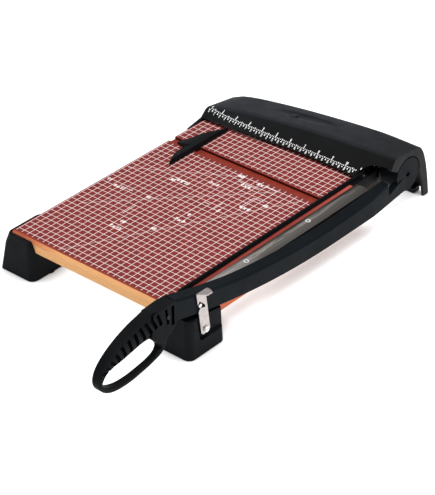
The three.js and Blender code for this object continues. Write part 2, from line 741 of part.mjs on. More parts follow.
function headSolid() {
  const innerLeft = headLeftFromGrid + headWall;
  const outside = headLoft(headLeftFromGrid, headRight, 0);
  const inside = headLoft(innerLeft, headRight - headEndWall, headWall);
  const leftLegFront = headFootFromGrid - headLegDepth;
  const skirtFront = headFrontFromGrid - headEndSkirtReach;
  const skirtHeight = headLipHeight - headEndSkirtDrop;
  const skirtOutline = [
    [skirtFront, skirtHeight], [headFrontFromGrid, headLipHeight], [headCreaseFromGrid, 0],
    [leftLegFront, boardBottom], [leftLegFront - headLipWidth, -headLegArch],
    [skirtFront + headLegArch / 2, skirtHeight - headLegArch / 2],
  ];
  const skirt = prismX(skirtOutline, headLeftFromGrid, innerLeft);
  const underSkirt = prismX([
    [skirtFront - overrun, footBottom - overrun], [skirtFront - overrun, skirtHeight],
    [skirtFront, skirtHeight], [skirtFront + headLegArch / 2, skirtHeight - headLegArch / 2],
    [leftLegFront - headLipWidth, -headLegArch], [leftLegFront, -headLegArch - headLegArchRound],
    [leftLegFront, footBottom - overrun],
  ], headLeftFromGrid - overrun, innerLeft + overrun);
  const lipLine = headLipAngle * degrees;
  const far = headLength;
  const wing = headFootFromGrid + headFootSweep - headWingInset;
  const armRoom = prismX([
    pivot, [pivot[0] - far * Math.cos(lipLine), pivot[1] + far * Math.sin(lipLine)],
    [pivot[0] - far * Math.cos(lipLine), footBottom - overrun], [wing, footBottom - overrun],
    [wing - headWingKick, table + hubRadius], [pivot[0] + hubRadius, pivot[1]],
  ], headRight - headEndWall - overrun, headRight + overrun);
  const arch = rod('x', pivot, headRight - headEndWall - overrun, headRight + overrun, hubRadius + headArchGap,
    hubRadius + headArchGap, roundSides * 2);
  const notchLeft = headRight - headNotchWidth;
  const notchTop = headNotchHeight;
  const notch = prismY([
    [notchLeft, footBottom], [notchLeft, headLipHeight],
    ...bend([notchLeft, headLipHeight], [notchLeft + headNotchCurve / 3, notchTop],
      [notchLeft + headNotchCurve, notchTop], headRearSteps).slice(1),
    [headRight - headEndWall, notchTop], [headRight - headEndWall, footBottom],
  ], headFrontFromGrid - headEndSkirtReach, headNotchDepth);
  const pocketWall = box(notchLeft - headWall - clearance, notchLeft - clearance, headCreaseFromGrid, headNotchDepth,
    clearance, standHeight).intersect(outside);
  const bosses = headScrewPlaces.map((at) =>
    rod('z', at, clearance, standHeight, headBossRadius).intersect(outside));
  const rearPads = rearPadPlaces.map((at) =>
    box(at[0] - padRadius * 2, at[0] + padRadius * 2, at[1] - padRadius, at[1] + padRadius, footBottom,
      footBottom + padRadius).intersect(outside));
  const [kick, endKick] = [
    [headLeftFromGrid + headLegDepth, headRight - headLegDepth],
    [headRight - headRightLegInset, headRight - headEndWall],
  ].map(([left, right]) => box(left, right, leftLegFront, headFootFromGrid + headFootSweep + overrun,
    footBottom - overrun, footBottom + headKickHeight));
  const shell = cut(joined(cut(outside, inside), skirt), underSkirt, armRoom, arch, notch, headRecessRoom());
  return cut(
    joined(shell, pocketWall, ...bosses, ...rearPads), kick, endKick,
    ...rearPadPlaces.map((at) => rearPadBox(at, clearance)),
    ...headScrewPlaces.map((at) => screwRoom(headScrewSize, 'z', at, headScrewFace, 1)),
  );
}

const rearPadPlaces = [headLegDepth / 2, headLength - (headLegDepth + headRightLegInset) / 2].map((along) => [
  headLeftFromGrid + along,
  headFootFromGrid + (headFootSweep * along) / headLength - headWall - padRadius / 2,
]);

function rearPadBox([x, y], gap) {
  const halfWidth = padRadius + gap;
  const halfDepth = padRadius / 2 + gap;
  return box(x - halfWidth, x + halfWidth, y - halfDepth, y + halfDepth, table - gap, table + padThickness + gap);
}

function padSolid(at) {
  return rod('z', at, table, table + padThickness, padRadius);
}

// Steel angle: a flange under the board and an upright that carries the pivot
function bracketSolid() {
  const uprightRight = hubLeft - pivotWasherThickness - clearance * 2;
  const uprightLeft = uprightRight - bracketThickness;
  const flangeBottom = bracketTop - bracketFlange;
  const arc = Array.from({ length: roundSides / 2 + 1 }, (_, i) => {
    const angle = (i / (roundSides / 2)) * Math.PI;
    return [pivot[0] + bracketRadius * Math.cos(angle), pivot[1] + bracketRadius * Math.sin(angle)];
  });
  const front = pivot[0] - bracketRadius;
  const rear = pivot[0] + bracketRadius;
  const upright = prismX([[front, flangeBottom], [rear, flangeBottom], ...arc], uprightLeft, uprightRight);
  const flange = box(bracketFlangeReach, uprightRight, front, rear, flangeBottom, bracketTop);
  return cut(
    joined(upright, flange),
    rod('x', pivot, uprightLeft - overrun, uprightRight + overrun, pivotShank + clearance),
    ...bracketScrewPlaces.map((at) => screwRoom(panScrew, 'z', at, bracketScrewFace, 1)),
  );
}

const bracketLeft = hubLeft - pivotWasherThickness - clearance * 2 - bracketThickness;
const springRight = bracketLeft - clearance;
const springLeft = springRight - springLength;
const nutRight = springLeft - clearance;
const nutLeft = nutRight - pivotNutThickness;

function pivotBoltSolid() {
  const size = {
    headRadius: pivotHeadRadius, headHeight: pivotHeadHeight, shank: pivotShank,
    length: hubRight - nutLeft + pivotTail, slotWidth: flatScrew.slotWidth * 1.5, slotDepth: flatScrew.slotDepth,
  };
  return screw(size, 'x', pivot, hubRight, -1);
}

function pivotWasherSolid() {
  const right = hubLeft - clearance;
  return cut(
    rod('x', pivot, right - pivotWasherThickness, right, pivotWasherRadius),
    rod('x', pivot, right - pivotWasherThickness - overrun, right + overrun, pivotShank + clearance),
  );
}

function pivotNutSolid() {
  const hexagonSides = 6;
  return cut(
    rod('x', pivot, nutLeft, nutRight, pivotNutRadius, pivotNutRadius, hexagonSides),
    rod('x', pivot, nutLeft - overrun, nutRight + overrun, pivotShank + clearance),
  );
}

// Spring that draws the arm against the bed plate
function springSolid() {
  const coilLength = springLength - springWire;
  const steps = springTurns * springSteps;
  const wireSides = 6;
  const rings = Array.from({ length: steps + 1 }, (_, i) => {
    const turn = (i / springSteps) * 2 * Math.PI;
    const x = springLeft + springWire / 2 + (coilLength * i) / steps;
    return Array.from({ length: wireSides }, (__, k) => {
      const angle = (k / wireSides) * 2 * Math.PI;
      const radius = springRadius + (springWire / 2) * Math.cos(angle);
      return new THREE.Vector3(x + (springWire / 2) * Math.sin(angle), pivot[0] + radius * Math.cos(turn),
        pivot[1] + radius * Math.sin(turn));
    });
  });
  const acrossWire = (point) => new THREE.Vector2(
    point.x, Math.hypot(point.y - pivot[0], point.z - pivot[1]));
  return loft(rings, acrossWire);
}

// Arm: a bowed bar that narrows to its hub, with a neck cut away above so that it can swing up
function armSolid() {
  const rings = Array.from({ length: armStations + 1 }, (_, i) => {
    const y = THREE.MathUtils.lerp(armFrontFromGrid, armRearFromGrid, i / armStations);
    const taper = THREE.MathUtils.clamp((y - (armRearFromGrid - armTaperLength)) / armTaperLength, 0, 1);
    const right = THREE.MathUtils.lerp(armRight, armLeftFromGrid + armHubWidth, taper);
    const drop = THREE.MathUtils.lerp(armRidgeDrop, armRearRidgeDrop, taper);
    const ridge = right - armRidgeInset;
    const [bottom, top] = [armBottom(y), armTop(y)];
    return [
      [armLeftFromGrid, bottom], [armLeftFromGrid, top], [ridge, top - drop],
      [right, top - drop - armEdgeRound * 2], [right, bottom + armEdgeRound], [right - armEdgeRound, bottom],
    ].map(([x, z]) => new THREE.Vector3(x, y, z));
  });
  const reliefAngle = neckAngle * degrees;
  const neckEnd = [pivot[0] - standHeight * 2 * Math.cos(reliefAngle), pivot[1] - standHeight * 2 * Math.sin(reliefAngle)];
  const aboveNeck = prismX([
    pivot, neckEnd, [neckEnd[0], standHeight], [pivot[0] + standHeight, standHeight], [pivot[0] + standHeight, pivot[1]],
  ], armLeftFromGrid - overrun, armRight + overrun);
  const relief = rod('x', pivot, armLeftFromGrid - overrun, armRight + overrun, neckReliefRadius, neckReliefRadius,
    roundSides * 2).intersect(aboveNeck);
  const hub = rod('x', pivot, hubLeft, hubRight, hubRadius, hubRadius, roundSides * 2);
  const tang = box(handleMiddle - tangWidth / 2, handleMiddle + tangWidth / 2, armFrontFromGrid - tangLength,
    armFrontFromGrid + overrun, tangMiddle - tangHeight / 2, tangMiddle + tangHeight / 2);
  return cut(
    joined(cut(loft(rings, frontView), relief), hub, tang),
    rod('x', pivot, hubLeft - overrun, hubRight + overrun, pivotShank + clearance),
    rod('x', pivot, hubRight - pivotHeadHeight - clearance, hubRight + overrun, pivotHeadRadius + clearance),
    rod('x', latchPinPlace, armRight - latchPinReach, armRight + overrun, latchPinRadius + clearance),
    screwRoom(handleScrewSize, 'x', handleScrewPlace, handleScrewFace, -1),
    ...bladeScrewPlaces.map((at) => screwRoom(bladeScrewSize, 'x', at, bladeLeftFace, 1, true)),
  );
}

const tangMiddle = armMiddle(armFrontFromGrid) + clearance;
const handleFront = armFrontFromGrid - clearance;
const handleScrewPlace = [handleFront - tangLength / 2, tangMiddle];
const handleScrewFace = handleMiddle + handleWidth / 2;
const bladeLeftFace = armLeftFromGrid - bladeArmGap - bladeThickness;
const bladeScrewPlaces = Array.from({ length: bladeScrewCount }, (_, i) => {
  const share = i / (bladeScrewCount - 1);
  const y = THREE.MathUtils.lerp(bladeFrontFromGrid + bladeScrewEndInset, bladeRearFromGrid - bladeScrewEndInset, share);
  return [y, armMiddle(y)];
});

// Where the arm's pin lies in the latch's mouth
const lean = latchLean * degrees;
const latchPoint = (across, up) => [
  latchScrewFromGrid + across * Math.cos(lean) - up * Math.sin(lean),
  latchHeight + across * Math.sin(lean) + up * Math.cos(lean),
];
const latchPinPlace = latchPoint(-latchPinForward, latchPinRise);

function bladeSolid() {
  const steps = armStations;
  const top = [];
  const edge = [];
  for (let i = 0; i <= steps; i += 1) {
    const share = i / steps;
    const y = THREE.MathUtils.lerp(bladeFrontFromGrid, bladeRearFromGrid, share);
    const bow = bladeBow * 4 * share * (1 - share);
    top.push([y, armMiddle(y) + bladeTopRise]);
    edge.push([y, -THREE.MathUtils.lerp(bladeFrontDip, bladeRearDip, share) - bow]);
  }
  return cut(
    prismX([...edge, ...top.reverse()], bladeLeftFace, bladeLeftFace + bladeThickness),
    ...bladeScrewPlaces.map((at) => screwRoom(bladeScrewSize, 'x', at, bladeLeftFace, 1, true)),
  );
}

function latchPinSolid() {
  const right = latchInside + latchThickness + clearance;
  return rod('x', latchPinPlace, armRight - latchPinReach + clearance, right, latchPinRadius, latchPinRadius, smallSides);
}

// Handle: stations round the loop as shares of its length and height, outside and inside, with shares of its width
const handleStationShares = [
  [0.1, 0.86, 0.294, 0.512, 0.95], [0.25, 1, 0.33, 0.59, 1], [0.404, 0.965, 0.426, 0.604, 1],
  [0.544, 0.909, 0.559, 0.567, 0.97], [0.706, 0.811, 0.691, 0.524, 0.93], [0.853, 0.677, 0.809, 0.494, 0.88],
  [0.945, 0.549, 0.89, 0.445, 0.82], [0.993, 0.415, 0.934, 0.378, 0.76], [1, 0.305, 0.949, 0.305, 0.7],
  [0.963, 0.183, 0.926, 0.232, 0.64], [0.882, 0.079, 0.853, 0.159, 0.58], [0.765, 0.018, 0.75, 0.11, 0.53],
  [0.603, 0.005, 0.61, 0.098, 0.5], [0.441, 0.037, 0.456, 0.122, 0.5], [0.279, 0.091, 0.309, 0.165, 0.5],
  [0.154, 0.171, 0.228, 0.226, 0.52], [0.081, 0.354, 0.199, 0.317, 0.6], [0.044, 0.598, 0.25, 0.439, 0.8],
];
const ribTopShares = [[0.045, 0.95], [0.25, 0.955], [0.404, 0.92], [0.544, 0.862], [0.706, 0.765], [0.853, 0.632],
  [0.94, 0.515]];
const ribFootShares = [[0.05, 0.6], [0.2, 0.73], [0.33, 0.69], [0.5, 0.6], [0.66, 0.55], [0.79, 0.505], [0.9, 0.44]];
const handlePoint = (along, up) => new THREE.Vector3(0, handleFront - along * handleLength,
  handleTop - handleHeight * (1 - up));

function handleLoop() {
  const closedCurve = (points) => new THREE.CatmullRomCurve3(points, true, 'centripetal');
  const outer = closedCurve(handleStationShares.map(([along, up]) => handlePoint(along, up)));
  const inner = closedCurve(handleStationShares.map(([, , along, up]) => handlePoint(along, up)));
  const widths = closedCurve(handleStationShares.map((station, i) => new THREE.Vector3(i, station[4], 0)));
  const round = handleSectionRoundShare;
  const rings = Array.from({ length: handleRings }, (_, i) => {
    const t = i / handleRings;
    const outside = outer.getPoint(t);
    const inside = inner.getPoint(t);
    const halfWidth = (handleWidth / 2) * widths.getPoint(t).y;
    const section = [[-1, round], [-1, 1 - round], [round - 1, 1], [1 - round, 1], [1, 1 - round], [1, round],
      [1 - round, 0], [round - 1, 0]];
    return section.map(([across, out]) => new THREE.Vector3(
      handleMiddle + across * halfWidth,
      THREE.MathUtils.lerp(inside.y, outside.y, out),
      THREE.MathUtils.lerp(inside.z, outside.z, out)));
  });
  return loft(rings, sideView, true);
}

function handleSolid() {
  const collarBottom = armBottom(armFrontFromGrid);
  const collarOutline = [[0, (collarBottom - handleTop + handleHeight) / handleHeight], [0, 0.985], [0.12, 0.995],
    [0.3, 0.98], [0.33, 0.57], [0.22, 0.42], [0.08, 0.46]].map(([along, up]) => {
    const point = handlePoint(along, up);
    return [point.y, point.z];
  });
  const collar = prismX(collarOutline, handleMiddle - handleWidth / 2, handleMiddle + handleWidth / 2);
  const curve = (shares) => new THREE.SplineCurve(shares.map(([along, up]) => {
    const point = handlePoint(along, up);
    return new THREE.Vector2(point.y, point.z);
  }));
  const tops = curve(ribTopShares);
  const feet = curve(ribFootShares);
  const right = handleMiddle + handleWidth / 2;
  const slots = Array.from({ length: handleRibCount }, (_, i) => {
    const t = i / (handleRibCount - 1);
    const top = tops.getPoint(t);
    const foot = feet.getPoint(t);
    const side = foot.clone().sub(top).normalize().multiplyScalar(handleRibSlotWidth / 2);
    const outline = [[top.x - side.y, top.y + side.x], [top.x + side.y, top.y - side.x],
      [foot.x + side.y, foot.y - side.x], [foot.x - side.y, foot.y + side.x]];
    const floor = right - handleRibSlotDepth - (1 - handleWidthShareAt(t)) * (handleWidth / 2);
    return prismX(outline, floor, right + overrun);
  });
  const socket = box(
    handleMiddle - tangWidth / 2 - clearance, handleMiddle + tangWidth / 2 + clearance,
    handleFront - tangLength - clearance, handleFront + overrun,
    tangMiddle - tangHeight / 2 - clearance, tangMiddle + tangHeight / 2 + clearance);
  return cut(
    joined(handleLoop(), collar), socket, ...slots,
    screwRoom(handleScrewSize, 'x', handleScrewPlace, handleScrewFace, -1),
  );
}

// The loop's width share beside a rib, from the collar to the tip
function handleWidthShareAt(t) {
  const limb = handleStationShares.slice(1, 8).map((station) => station[4]);
  const place = t * (limb.length - 1);
  const i = Math.min(Math.floor(place), limb.length - 2);
  return THREE.MathUtils.lerp(limb[i], limb[i + 1], place - i);
}

// Latch strap: outline as shares of half its width and of its length above the screw, then the bent thumb tab
const latchOutlineShares = [[-1, -0.05], [-0.6, -0.11], [0.7, -0.11], [1, -0.06], [1, 1], [-1, 1], [-1, 0.74],
  [-0.72, 0.78], [-0.5, 0.81], [0.55, 0.62], [0.5, 0.56], [-0.1, 0.6], [-0.5, 0.63], [-1, 0.55]];

function latchSolid() {
  const halfWidth = latchWidth / 2;
  const outline = latchOutlineShares.map(([across, up]) => latchPoint(across * halfWidth, up * latchLength));
  const outside = latchInside + latchThickness;
  const strap = prismX(outline, latchInside, outside);
  const [frontY] = latchPoint(-halfWidth, latchLength);
  const rearY = frontY + latchTabLength;
  const tabTop = latchHeight + latchLength * Math.cos(lean) + latchThickness / 2;
  const tab = prismZ([
    [latchInside, frontY], [outside, frontY], [outside + latchTabReach, frontY + latchTabChamfer * 2],
    [outside + latchTabReach, rearY - latchTabChamfer / 2], [outside + latchTabReach - latchTabChamfer, rearY],
    [latchInside, rearY],
  ], tabTop - latchThickness, tabTop);
  const at = [latchScrewFromGrid, latchHeight];
  return cut(
    joined(strap, tab),
    rod('x', at, latchInside - overrun, outside + overrun, latchScrewSize.shank + clearance, undefined, smallSides),
  );
}

function latchWasherSolid() {
  const at = [latchScrewFromGrid, latchHeight];
  const right = latchInside - clearance;
  return cut(
    rod('x', at, right - latchWasherThickness, right, latchScrewSize.headRadius),
    rod('x', at, right - latchWasherThickness - overrun, right + overrun, latchScrewSize.shank + clearance),
  );
}

// Fence: an upright face on a ridge that slopes to a thin outline, as shares of its length, width and height
const fenceTable = [
  [0, 0.06, 0.7], [0.028, 0.15, 1], [0.214, 0.49, 1], [0.395, 0.55, 1], [0.416, 1, 1],
  [0.473, 0.985, 1], [0.595, 0.78, 1], [0.696, 0.75, 1], [0.87, 0.49, 1], [1, 0.1, 0.7],
];

function fenceSolid() {
  const rings = fenceTable.map(([lengthShare, widthShare, heightShare]) => {
    const y = THREE.MathUtils.lerp(fenceFrontFromGrid, fenceRearFromGrid, lengthShare);
    const width = fenceWidth * widthShare;
    const height = fenceHeight * heightShare;
    return [
      [fenceFaceFromGrid - width, clearance], [fenceFaceFromGrid - width, fenceEdgeHeight],
      [fenceFaceFromGrid - width * fenceRidgeShare, height], [fenceFaceFromGrid, height],
      [fenceFaceFromGrid, clearance],
    ].map(([x, z]) => new THREE.Vector3(x, y, z));
  });
  return cut(
    loft(rings, frontView),
    ...fenceScrewPlaces.map((at) => screwRoom(fenceScrewSize, 'z', at, fenceScrewFace, 1)),
  );
}

const fenceRunnerMiddle = fenceFaceFromGrid - fenceRunnerLength / 2;
const fenceScrewPlaces = [-1, 1].map((side) =>
  [fenceRunnerMiddle + (side * fenceScrewSpacing) / 2, (grooveFromGrid + grooveRear) / 2]);
const fenceScrewFace = clearance - grooveDepth + clearance;
const fenceScrewSize = { ...tinyScrew, length: fenceScrewLength };

function fenceRunnerSolid() {
  return cut(
    box(fenceRunnerMiddle - fenceRunnerLength / 2, fenceRunnerMiddle + fenceRunnerLength / 2,
      grooveFromGrid + clearance, grooveRear - clearance, clearance - grooveDepth, 0),
    ...fenceScrewPlaces.map((at) => screwRoom(fenceScrewSize, 'z', at, fenceScrewFace, 1)),
  );
}

function finish(color, roughness, metalness) {
  return new THREE.MeshStandardMaterial({ color, roughness, metalness });
}

const blackPlastic = finish(0x24272a, 0.55, 0);
const paintedBoard = finish(0x8a3330, 0.5, 0);
const stainedWood = finish(0xc45a36, 0.6, 0);
const groundSteel = finish(0xb9b7b0, 0.35, 1);
const platedSteel = finish(0xd8d6d0, 0.3, 1);
const paintedMetal = finish(0x23282b, 0.45, 0.2);
const rubber = finish(0x17181a, 0.9, 0);

const machine = new THREE.Group();

function place(name, body, material) {
  const mesh = new THREE.Mesh(geometryOf(body), material.clone());
  mesh.name = name;
  machine.add(mesh);
}

function placeAll(name, bodies, material) {
  bodies.forEach((body, i) => place(`${name}_${i + 1}`, body, material));
}

function buildBase() {
  place('board', boardSolid(), paintedBoard);
  place('edge_rail', edgeRailSolid(), stainedWood);
  place('bed_plate', bedPlateSolid(), groundSteel);
  place('guard_rail', guardSolid(), blackPlastic);
  place('left_front_foot', leftFootSolid(), blackPlastic);
  place('right_front_foot', rightFootSolid(), blackPlastic);
  place('head_housing', headSolid(), blackPlastic);
  placeAll('foot_pad', [...leftPadPlaces, ...rightPadPlaces].map(padSolid), rubber);
  placeAll('rear_pad', rearPadPlaces.map((at) => rearPadBox(at, 0)), rubber);
}

function buildFasteners() {
  placeAll('bed_plate_screw', bedScrewPlaces.map((at) => screw(flatScrew, 'z', at, 0, -1, true)), platedSteel);
  placeAll('guard_screw', guardScrewPlaces.map((at) => screw(tinyScrew, 'z', at, guardScrewFace, -1)), platedSteel);
  placeAll('rail_screw', railScrewPlaces.map((at) => screw(panScrew, 'z', at, railScrewFace, 1)), platedSteel);
  placeAll('foot_screw', footScrewPlaces.map((at) => screw(panScrew, 'z', at, footScrewFace, 1)), platedSteel);
  placeAll('head_screw', headScrewPlaces.map((at) => screw(headScrewSize, 'z', at, headScrewFace, 1)), platedSteel);
}

function buildPivot() {
  place('pivot_bracket', bracketSolid(), platedSteel);
  placeAll('bracket_screw',
    bracketScrewPlaces.map((at) => screw(panScrew, 'z', at, bracketScrewFace, 1)), platedSteel);
  place('pivot_bolt', pivotBoltSolid(), platedSteel);
  place('pivot_washer', pivotWasherSolid(), platedSteel);
  place('pivot_spring', springSolid(), platedSteel);
  place('pivot_nut', pivotNutSolid(), platedSteel);
}

function buildLever() {
  place('arm', armSolid(), paintedMetal);
  place('blade', bladeSolid(), groundSteel);
  placeAll('blade_screw',
    bladeScrewPlaces.map((at) => screw(bladeScrewSize, 'x', at, bladeLeftFace, 1, true)), platedSteel);
  place('handle', handleSolid(), blackPlastic);
  place('handle_screw', screw(handleScrewSize, 'x', handleScrewPlace, handleScrewFace, -1), platedSteel);
  place('latch_pin', latchPinSolid(), platedSteel);
}

function buildLatch() {
  place('latch_strap', latchSolid(), platedSteel);
  place('latch_washer', latchWasherSolid(), platedSteel);
  place('latch_screw',
    screw(latchScrewSize, 'x', [latchScrewFromGrid, latchHeight], latchScrewFace, -1), platedSteel);
}

function buildFence() {
  place('fence', fenceSolid(), blackPlastic);
  place('fence_runner', fenceRunnerSolid(), blackPlastic);
  placeAll('fence_screw', fenceScrewPlaces.map((at) => screw(fenceScrewSize, 'z', at, fenceScrewFace, 1)), platedSteel);
}

buildBase();
buildFasteners();
buildPivot();
buildLever();
buildLatch();
buildFence();

const whole = new THREE.Box3().setFromObject(machine);
const middle = whole.getCenter(new THREE.Vector3());
machine.position.set(-middle.x, -middle.y, -whole.min.z);

export default machine;
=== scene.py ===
import json
import math

import bmesh
import bpy
from mathutils import Matrix, Vector
from mathutils.bvhtree import BVHTree


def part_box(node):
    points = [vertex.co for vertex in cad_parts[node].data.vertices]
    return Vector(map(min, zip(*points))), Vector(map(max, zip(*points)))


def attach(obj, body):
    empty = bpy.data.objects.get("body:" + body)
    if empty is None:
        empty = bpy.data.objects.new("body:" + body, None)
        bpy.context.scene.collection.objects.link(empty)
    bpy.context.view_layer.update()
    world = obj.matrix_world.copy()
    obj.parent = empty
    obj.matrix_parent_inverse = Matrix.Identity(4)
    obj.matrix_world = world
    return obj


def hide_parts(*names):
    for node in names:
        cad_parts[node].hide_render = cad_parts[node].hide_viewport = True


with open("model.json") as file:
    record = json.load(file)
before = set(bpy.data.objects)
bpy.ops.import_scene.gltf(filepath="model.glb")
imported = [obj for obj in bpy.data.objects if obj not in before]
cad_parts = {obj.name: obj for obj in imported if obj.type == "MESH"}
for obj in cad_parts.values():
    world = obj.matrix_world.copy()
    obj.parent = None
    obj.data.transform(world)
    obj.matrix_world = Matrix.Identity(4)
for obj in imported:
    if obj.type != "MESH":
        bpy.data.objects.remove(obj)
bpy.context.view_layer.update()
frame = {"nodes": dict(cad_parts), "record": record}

# Places and sizes here are in mm, and colours in linear light, unless a comment says otherwise
MM = 0.001
# Corners that lie closer than this, in metres, are joined
TINY = 1e-6

# The camera that took the photograph, its place from the grid's middle crossing, and its angles in degrees
CAMERA_FROM_GRID = (1619.68, -1628.78, 1460.09)
CAMERA_AZIMUTH = 42.47
CAMERA_ELEVATION = 32.97
CAMERA_ROLL = -1.82
CAMERA_LENS = 147.8
SENSOR_LONG_SIDE = 36.0
CAMERA_CLIP = (100.0, 50000.0)

# The printed grid, from its middle crossing on top of the board
GRID_TO_LEFT_EDGE = 142.5
GRID_TO_FRONT_EDGE = 114.0
GRID_PITCH = 10.0
GRID_LEFT = -140.0
GRID_COLUMNS = 28
FRONT_ROWS = (-100.0, 30)
REAR_ROWS = (220.0, 7)
FRONT_TICKS = (-105.5, 196.5)
REAR_TICKS = (216.0, 288.0)
LINE_WIDTH = 0.8
INK_HEIGHT = 0.05
INK_SINK = 0.03
RAISED_INK = 0.08

board_low, board_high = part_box("board")
GRID_ZERO = Vector((
    board_low.x + GRID_TO_LEFT_EDGE * MM,
    board_low.y + GRID_TO_FRONT_EDGE * MM,
    board_high.z,
))


def at(x, y, z=0.0):
    """A place given in mm from the grid's middle crossing, in the frame's metres."""
    return GRID_ZERO + Vector((x, y, z)) * MM


# Node materials

class Shader:
    """One Principled material and the nodes that feed it."""

    def __init__(self, name, roughness, metallic=0.0, specular=0.5):
        self.material = bpy.data.materials.new(name)
        self.material.use_nodes = True
        self.tree = self.material.node_tree
        self.surface = self.tree.nodes["Principled BSDF"]
        self.surface.inputs["Roughness"].default_value = roughness
        self.surface.inputs["Metallic"].default_value = metallic
        self.surface.inputs["Specular IOR Level"].default_value = specular
        self.place = self.tree.nodes.new("ShaderNodeTexCoord").outputs["Object"]
        self.normal = None

    def feed(self, source, target):
        """Feed a node's input from another node, or set it to a plain value."""
        if isinstance(source, bpy.types.NodeSocket):
            self.tree.links.new(source, target)
        else:
            target.default_value = source

    def give(self, name, source):
        """Feed one input of the surface."""
        self.feed(source, self.surface.inputs[name])

    def stretched(self, scale):
        """The object's own coordinates, scaled along each axis."""
        mapping = self.tree.nodes.new("ShaderNodeMapping")
        mapping.inputs["Scale"].default_value = scale
        self.feed(self.place, mapping.inputs["Vector"])
        return mapping.outputs["Vector"]

    def noise(self, scale, detail=4.0, roughness=0.55, vector=None):
        """Cloudy noise from 0 to 1, with `scale` spots to a metre."""
        noise = self.tree.nodes.new("ShaderNodeTexNoise")
        noise.inputs["Scale"].default_value = scale
        noise.inputs["Detail"].default_value = detail
        noise.inputs["Roughness"].default_value = roughness
        self.feed(vector or self.place, noise.inputs["Vector"])
        return noise.outputs["Fac"]

    def cells(self, scale):
        """Small round cells, as on a powder coat, with `scale` cells to a metre."""
        cells = self.tree.nodes.new("ShaderNodeTexVoronoi")
        cells.inputs["Scale"].default_value = scale
        self.feed(self.place, cells.inputs["Vector"])
        return cells.outputs["Distance"]

    def ramp(self, factor, *stops):
        """Colours or greys along a factor, as (place, colour) stops."""
        ramp = self.tree.nodes.new("ShaderNodeValToRGB")
        band = ramp.color_ramp
        while len(band.elements) < len(stops):
            band.elements.new(0.5)
        for element, (place, colour) in zip(band.elements, stops):
            element.position = place
            element.color = (*colour, 1.0) if isinstance(colour, tuple) else (colour, colour, colour, 1.0)
        self.feed(factor, ramp.inputs["Fac"])
        return ramp.outputs["Color"]

    def tones(self, factor, pair, spread=(0.3, 0.7)):
        """From the first to the second of a pair of colours or greys, over the middle of a factor."""
        return self.ramp(factor, *zip(spread, pair))

    def part(self, source, axis):
        """One coordinate of a vector."""
        split = self.tree.nodes.new("ShaderNodeSeparateXYZ")
        self.feed(source, split.inputs["Vector"])
        return split.outputs[axis]

    def coordinates(self, axes):
        """The object's own coordinates along some axes, in metres."""
        return [self.part(self.place, axis) for axis in axes]

    def facing(self, axis):
        """How far the surface faces along one axis, from -1 to 1."""
        return self.part(self.tree.nodes.new("ShaderNodeNewGeometry").outputs["Normal"], axis)

    def math(self, kind, first, second, clamp=False):
        """One operation on two values, where `clamp` keeps the result from 0 to 1."""
        node = self.tree.nodes.new("ShaderNodeMath")
        node.operation = kind
        node.use_clamp = clamp
        for slot, value in zip(node.inputs, (first, second)):
            self.feed(value, slot)
        return node.outputs["Value"]

    def times(self, first, second):
        return self.math("MULTIPLY", first, second)

    def minus(self, first, second):
        return self.math("SUBTRACT", first, second)

    def rise(self, value, start, length):
        """0 up to `start`, and 1 from `length` beyond it."""
        return self.math("DIVIDE", self.minus(value, start), length, clamp=True)

    def fall(self, value, end, length):
        """1 up to `length` before `end`, and 0 from there on."""
        return self.math("DIVIDE", self.minus(end, value), length, clamp=True)

    def window(self, value, low, high, blur):
        """1 where a value lies between low and high, fading over `blur`."""
        return self.times(self.rise(value, low, blur), self.fall(value, high, blur))

    def above(self, value, limit):
        """1 where a value is greater than a limit, or else 0."""
        return self.math("GREATER_THAN", value, limit)

    def below(self, value, limit):
        """1 where a value is less than a limit, or else 0."""
        return self.math("LESS_THAN", value, limit)

    def mix(self, factor, first, second, kind="MIX"):
        """The first colour where the factor is 0, and the second laid over it where the factor is 1."""
        node = self.tree.nodes.new("ShaderNodeMix")
        node.data_type = "RGBA"
        node.blend_type = kind
        self.feed(factor, node.inputs["Factor"])
        slots = [socket for socket in node.inputs if socket.type == "RGBA"]
        for slot, colour in zip(slots, (first, second)):
            self.feed((*colour, 1.0) if isinstance(colour, tuple) else colour, slot)
        return next(socket for socket in node.outputs if socket.type == "RGBA")

    def bump(self, height, depth, strength):
        """Relief of `depth` mm, laid over any relief before it."""
        bump = self.tree.nodes.new("ShaderNodeBump")
        bump.inputs["Strength"].default_value = strength
        bump.inputs["Distance"].default_value = depth * MM
        self.feed(height, bump.inputs["Height"])
        if self.normal is not None:
            self.feed(self.normal, bump.inputs["Normal"])
        self.normal = bump.outputs["Normal"]
        self.feed(self.normal, self.surface.inputs["Normal"])


# How far a face's normal points along an axis before the face counts as facing that way
FACING = 0.9

# Black plastic and paint

WHITE = (1.0, 1.0, 1.0)
BLACK_PLASTIC = ((0.0050, 0.0057, 0.0066), (0.0080, 0.0090, 0.0102))
# Near-black paint for the floors and walls of the handle's slots, as their painted shade
POCKET_PAINTED_SHADE = ((0.0006, 0.0006, 0.0007), (0.0012, 0.0012, 0.0013))
# The ruler face's black is darker and the top's lighter, partly by their finishes and partly as painted
# light and shade by which way they face
RULER_FACE_BLACK = ((0.0036, 0.0040, 0.0046), (0.0058, 0.0064, 0.0072))
HEAD_TOP_BLACK_WITH_PAINTED_LIGHT = ((0.0095, 0.0115, 0.0155), (0.0145, 0.0172, 0.0225))
ARM_PAINT = ((0.0036, 0.0054, 0.0072), (0.0060, 0.0084, 0.0106))
RUBBER = (0.010, 0.018)

# The head's top takes its lighter black, partly its textured finish and partly painted light from above,
# where its normal's height passes this, fading in over the second value
HEAD_TOP_FACING = (0.87, 0.06)
# Painted shade: the head's top darkens to the right of this place, over this length and from the first tone
# to the second
HEAD_SHADE_FROM = 20.0
HEAD_SHADE_LENGTH = 130.0
HEAD_SHADE_TONES = (1.0, 0.5)
